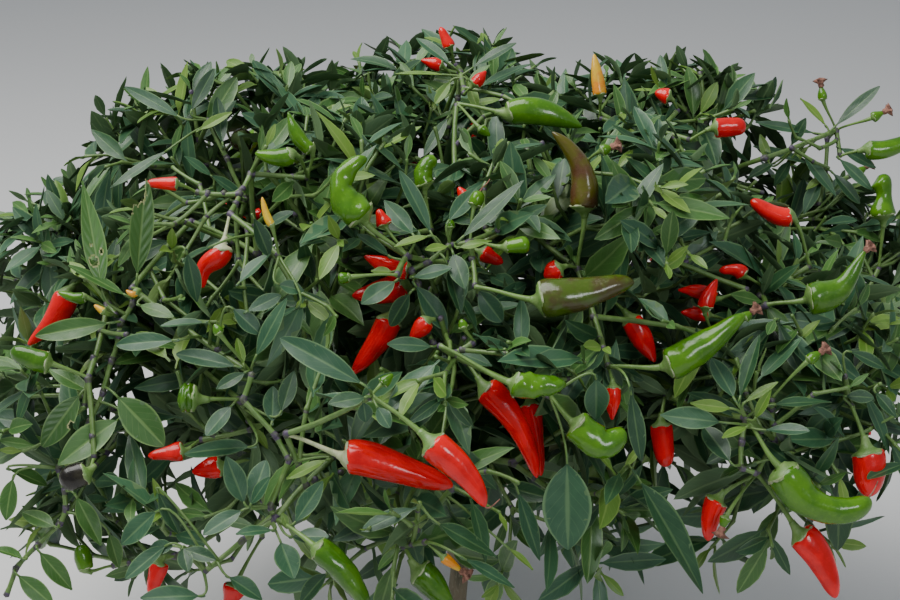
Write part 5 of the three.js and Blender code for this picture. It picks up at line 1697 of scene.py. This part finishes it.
# The stalks and cups: three colours each, the roughness, the size of the patches and the relief
GREEN_PARTS = {
    "calyx_green": [[(0.1, 0.2, 0.04), (0.15, 0.25, 0.07), (0.2, 0.28, 0.12)], 0.45, 260, 0.12],
    "calyx_rim": [[(0.36, 0.4, 0.24), (0.2, 0.28, 0.1), (0.5, 0.48, 0.36)], 0.6, 400, 0.15],
    "stalk_green": [[(0.13, 0.24, 0.05), (0.1, 0.19, 0.04), (0.2, 0.28, 0.1)], 0.42, 260, 0.06],
    "cream_stalk": [[(0.42, 0.44, 0.26), (0.3, 0.36, 0.17), (0.5, 0.5, 0.36)], 0.5, 300, 0.08],
}
green_paints = [patchy(name, *facts) for name, facts in GREEN_PARTS.items()]
calyx_green, calyx_rim, stalk_green, stalk_cream = green_paints
draw = np.random.default_rng(SEED + 2)
for chilli in chillies + hidden_chillies:
    name = chilli["name"]
    girth = np.array(PLAIN_GIRTH) * draw.uniform(0.9, 1.1, 5)
    chilli.update(shaped({"name": name, "knobs": PLAIN_KNOBS, "girth": girth}))
    chilli["line"] = pod_line(chilli)
    if name:
        plain = "ripe_red" if "red" in name else "green"
        chilli["kind"] = list(SKINS).index(skin_of.get(name, plain))
    else:
        chilli["kind"] = draw.choice(len(DEALT_SHARES), p=DEALT_SHARES)
for title, rows in (("seen", chillies), ("elsewhere", hidden_chillies)):
    grid = GRIDS[title]
    kinds = [chilli["kind"] for chilli in rows]
    is_cream = np.array([chilli["name"] in CREAM_CUPS for chilli in rows])
    points, faces, place = pods(rows, *grid["pod"], draw)
    worn = dealt(kinds, faces)
    piece(f"pods_{title}", *repeated(points, faces), skins, "chilli", all_names, worn, place)
    points, faces = cups(rows, grid["cup"])
    rim_bands = np.repeat([0] * (len(CALYX_RUN) - 2) + [1], grid["cup"])
    worn = dealt(2 * is_cream, faces, rim_bands)
    paints = [calyx_green, calyx_rim, stalk_cream, calyx_rim]
    piece(f"cups_{title}", *repeated(points, faces), paints, "young_bark", all_names, worn)
    points, faces = stalks(rows, *grid["stalk"])
    worn = dealt(1 * is_cream, faces)
    paints = [stalk_green, stalk_cream]
    piece(f"stalks_{title}", *repeated(points, faces), paints, "young_bark", all_names, worn)

# Dried blossom: the withered flower that still sits on some buds and young pods, a pinkish brown
# crumpled tube that grips the tip and splits into five lobes
BLOSSOMED = [name for name in deeper_chillies if "dry" in name]
BLOSSOMED += ["top_right_bud", "far_right_bud", "rising_green"]
BLOSSOM_RUN = np.array([-0.8, 0.2, 1.2, 2.2, 3.0, 3.6])[:, None]
BLOSSOM_RADII = np.array([1.0, 1.5, 1.3, 1.9, 2.5, 1.4])[:, None]
BLOSSOM_FLARES = np.array([0, 0.05, 0.1, 0.35, 0.6, 0.7])[:, None]
BLOSSOM_SIDES = 20
budded = [chilli for chilli in chillies if chilli["name"] in BLOSSOMED]
tip_at, from_at = columns(budded, "to", "from")
middles = tip_at[:, None] + unit(tip_at - from_at)[:, None] * BLOSSOM_RUN
turn = 2 * np.pi * np.arange(BLOSSOM_SIDES) / BLOSSOM_SIDES
crumple = 1 + BLOSSOM_FLARES * np.cos(5 * turn) + 0.2 * np.sin(3 * turn + BLOSSOM_RUN * 2)
radii = BLOSSOM_RADII * crumple * np.ones((len(budded), 1, 1))
dried_colours = [(0.3, 0.13, 0.09), (0.14, 0.06, 0.04), (0.42, 0.27, 0.2)]
dried = patchy("dried_blossom", dried_colours, roughness=0.85, scale=500, relief=0.3)
points, faces = repeated(*tubes(middles, radii, BLOSSOM_SIDES))
piece("dried_blossom", points, faces, [dried], "foliage", all_names)

# Style threads: the dry end of the flower's style, a fine brown thread that some pods still carry at
# the tip. Each runs on from its pod and bends to the place where the photograph shows its end.
THREAD_RADIUS = 0.28
THREADED = {"hooked_green": (878, 481), "front_red": (500, 499), "corolla_bud": (490, 179)}
threaded = [chilli for chilli in chillies if chilli["name"] in THREADED]
tip_at, from_at = columns(threaded, "to", "from")
ends = np.array([sighted(THREADED[c["name"]], seen_at(c["to"])[1]) for c in threaded])
way = unit(tip_at - pod_middle(threaded, np.full((len(threaded), 1), 0.9))[:, 0])
reach = lengths(ends - tip_at)[:, None]
sagging = ends * 0.6 + tip_at * 0.4 - UP * reach * 0.15
shares = np.linspace(0, 1, 12)
middles = curves(np.stack([tip_at - way, tip_at + way * reach * 0.35, sagging, ends]), shares)
radii = THREAD_RADIUS * (1.4 - 0.7 * shares) * np.ones((len(threaded), 1))
piece("style_threads", *repeated(*tubes(middles, radii, 6)), [dried], "foliage", all_names)

# The floor, the backdrop and the light: a plain pale floor and soft light from a large panel above,
# a weaker one beside the camera and the pale room around
FLOOR_HALF = 6000
floor_mesh = bpy.data.meshes.new("floor")
floor_corners = np.array([(-1, -1, 0), (1, -1, 0), (1, 1, 0), (-1, 1, 0)]) * FLOOR_HALF * MM
floor_mesh.from_pydata(floor_corners, [], [(0, 1, 2, 3)])
floor_paint, tree, shader = material("pale_floor", 0.8)
shader.inputs["Base Color"].default_value = (0.62, 0.62, 0.61, 1)
floor_mesh.materials.append(floor_paint)
in_scene("floor", floor_mesh)

room = bpy.data.worlds.new("room")
room.use_nodes = True
room.node_tree.nodes["Background"].inputs["Color"].default_value = (0.86, 0.92, 1.0, 1)
room.node_tree.nodes["Background"].inputs["Strength"].default_value = 0.42
bpy.context.scene.world = room


def soft_light(name, place, aim, size, power, colour):
    """A square light panel at a place, in millimetres, that faces a point."""
    light = bpy.data.lights.new(name, "AREA")
    light.size = size * MM
    light.energy = power
    light.color = colour
    panel = in_scene(name, light)
    place, aim = np.array(place, float), np.array(aim, float)
    panel.location = place * MM
    way = unit(aim - place)
    panel.rotation_euler = (math.acos(-way[2]), 0, math.atan2(-way[0], way[1]))


soft_light("top_panel", (-550, -50, 1400), (0, 0, 200), 1150, 32, (1.0, 0.99, 0.96))
soft_light("front_panel", (600, -1300, 1000), (0, 0, 200), 400, 7, (0.95, 0.98, 1.0))
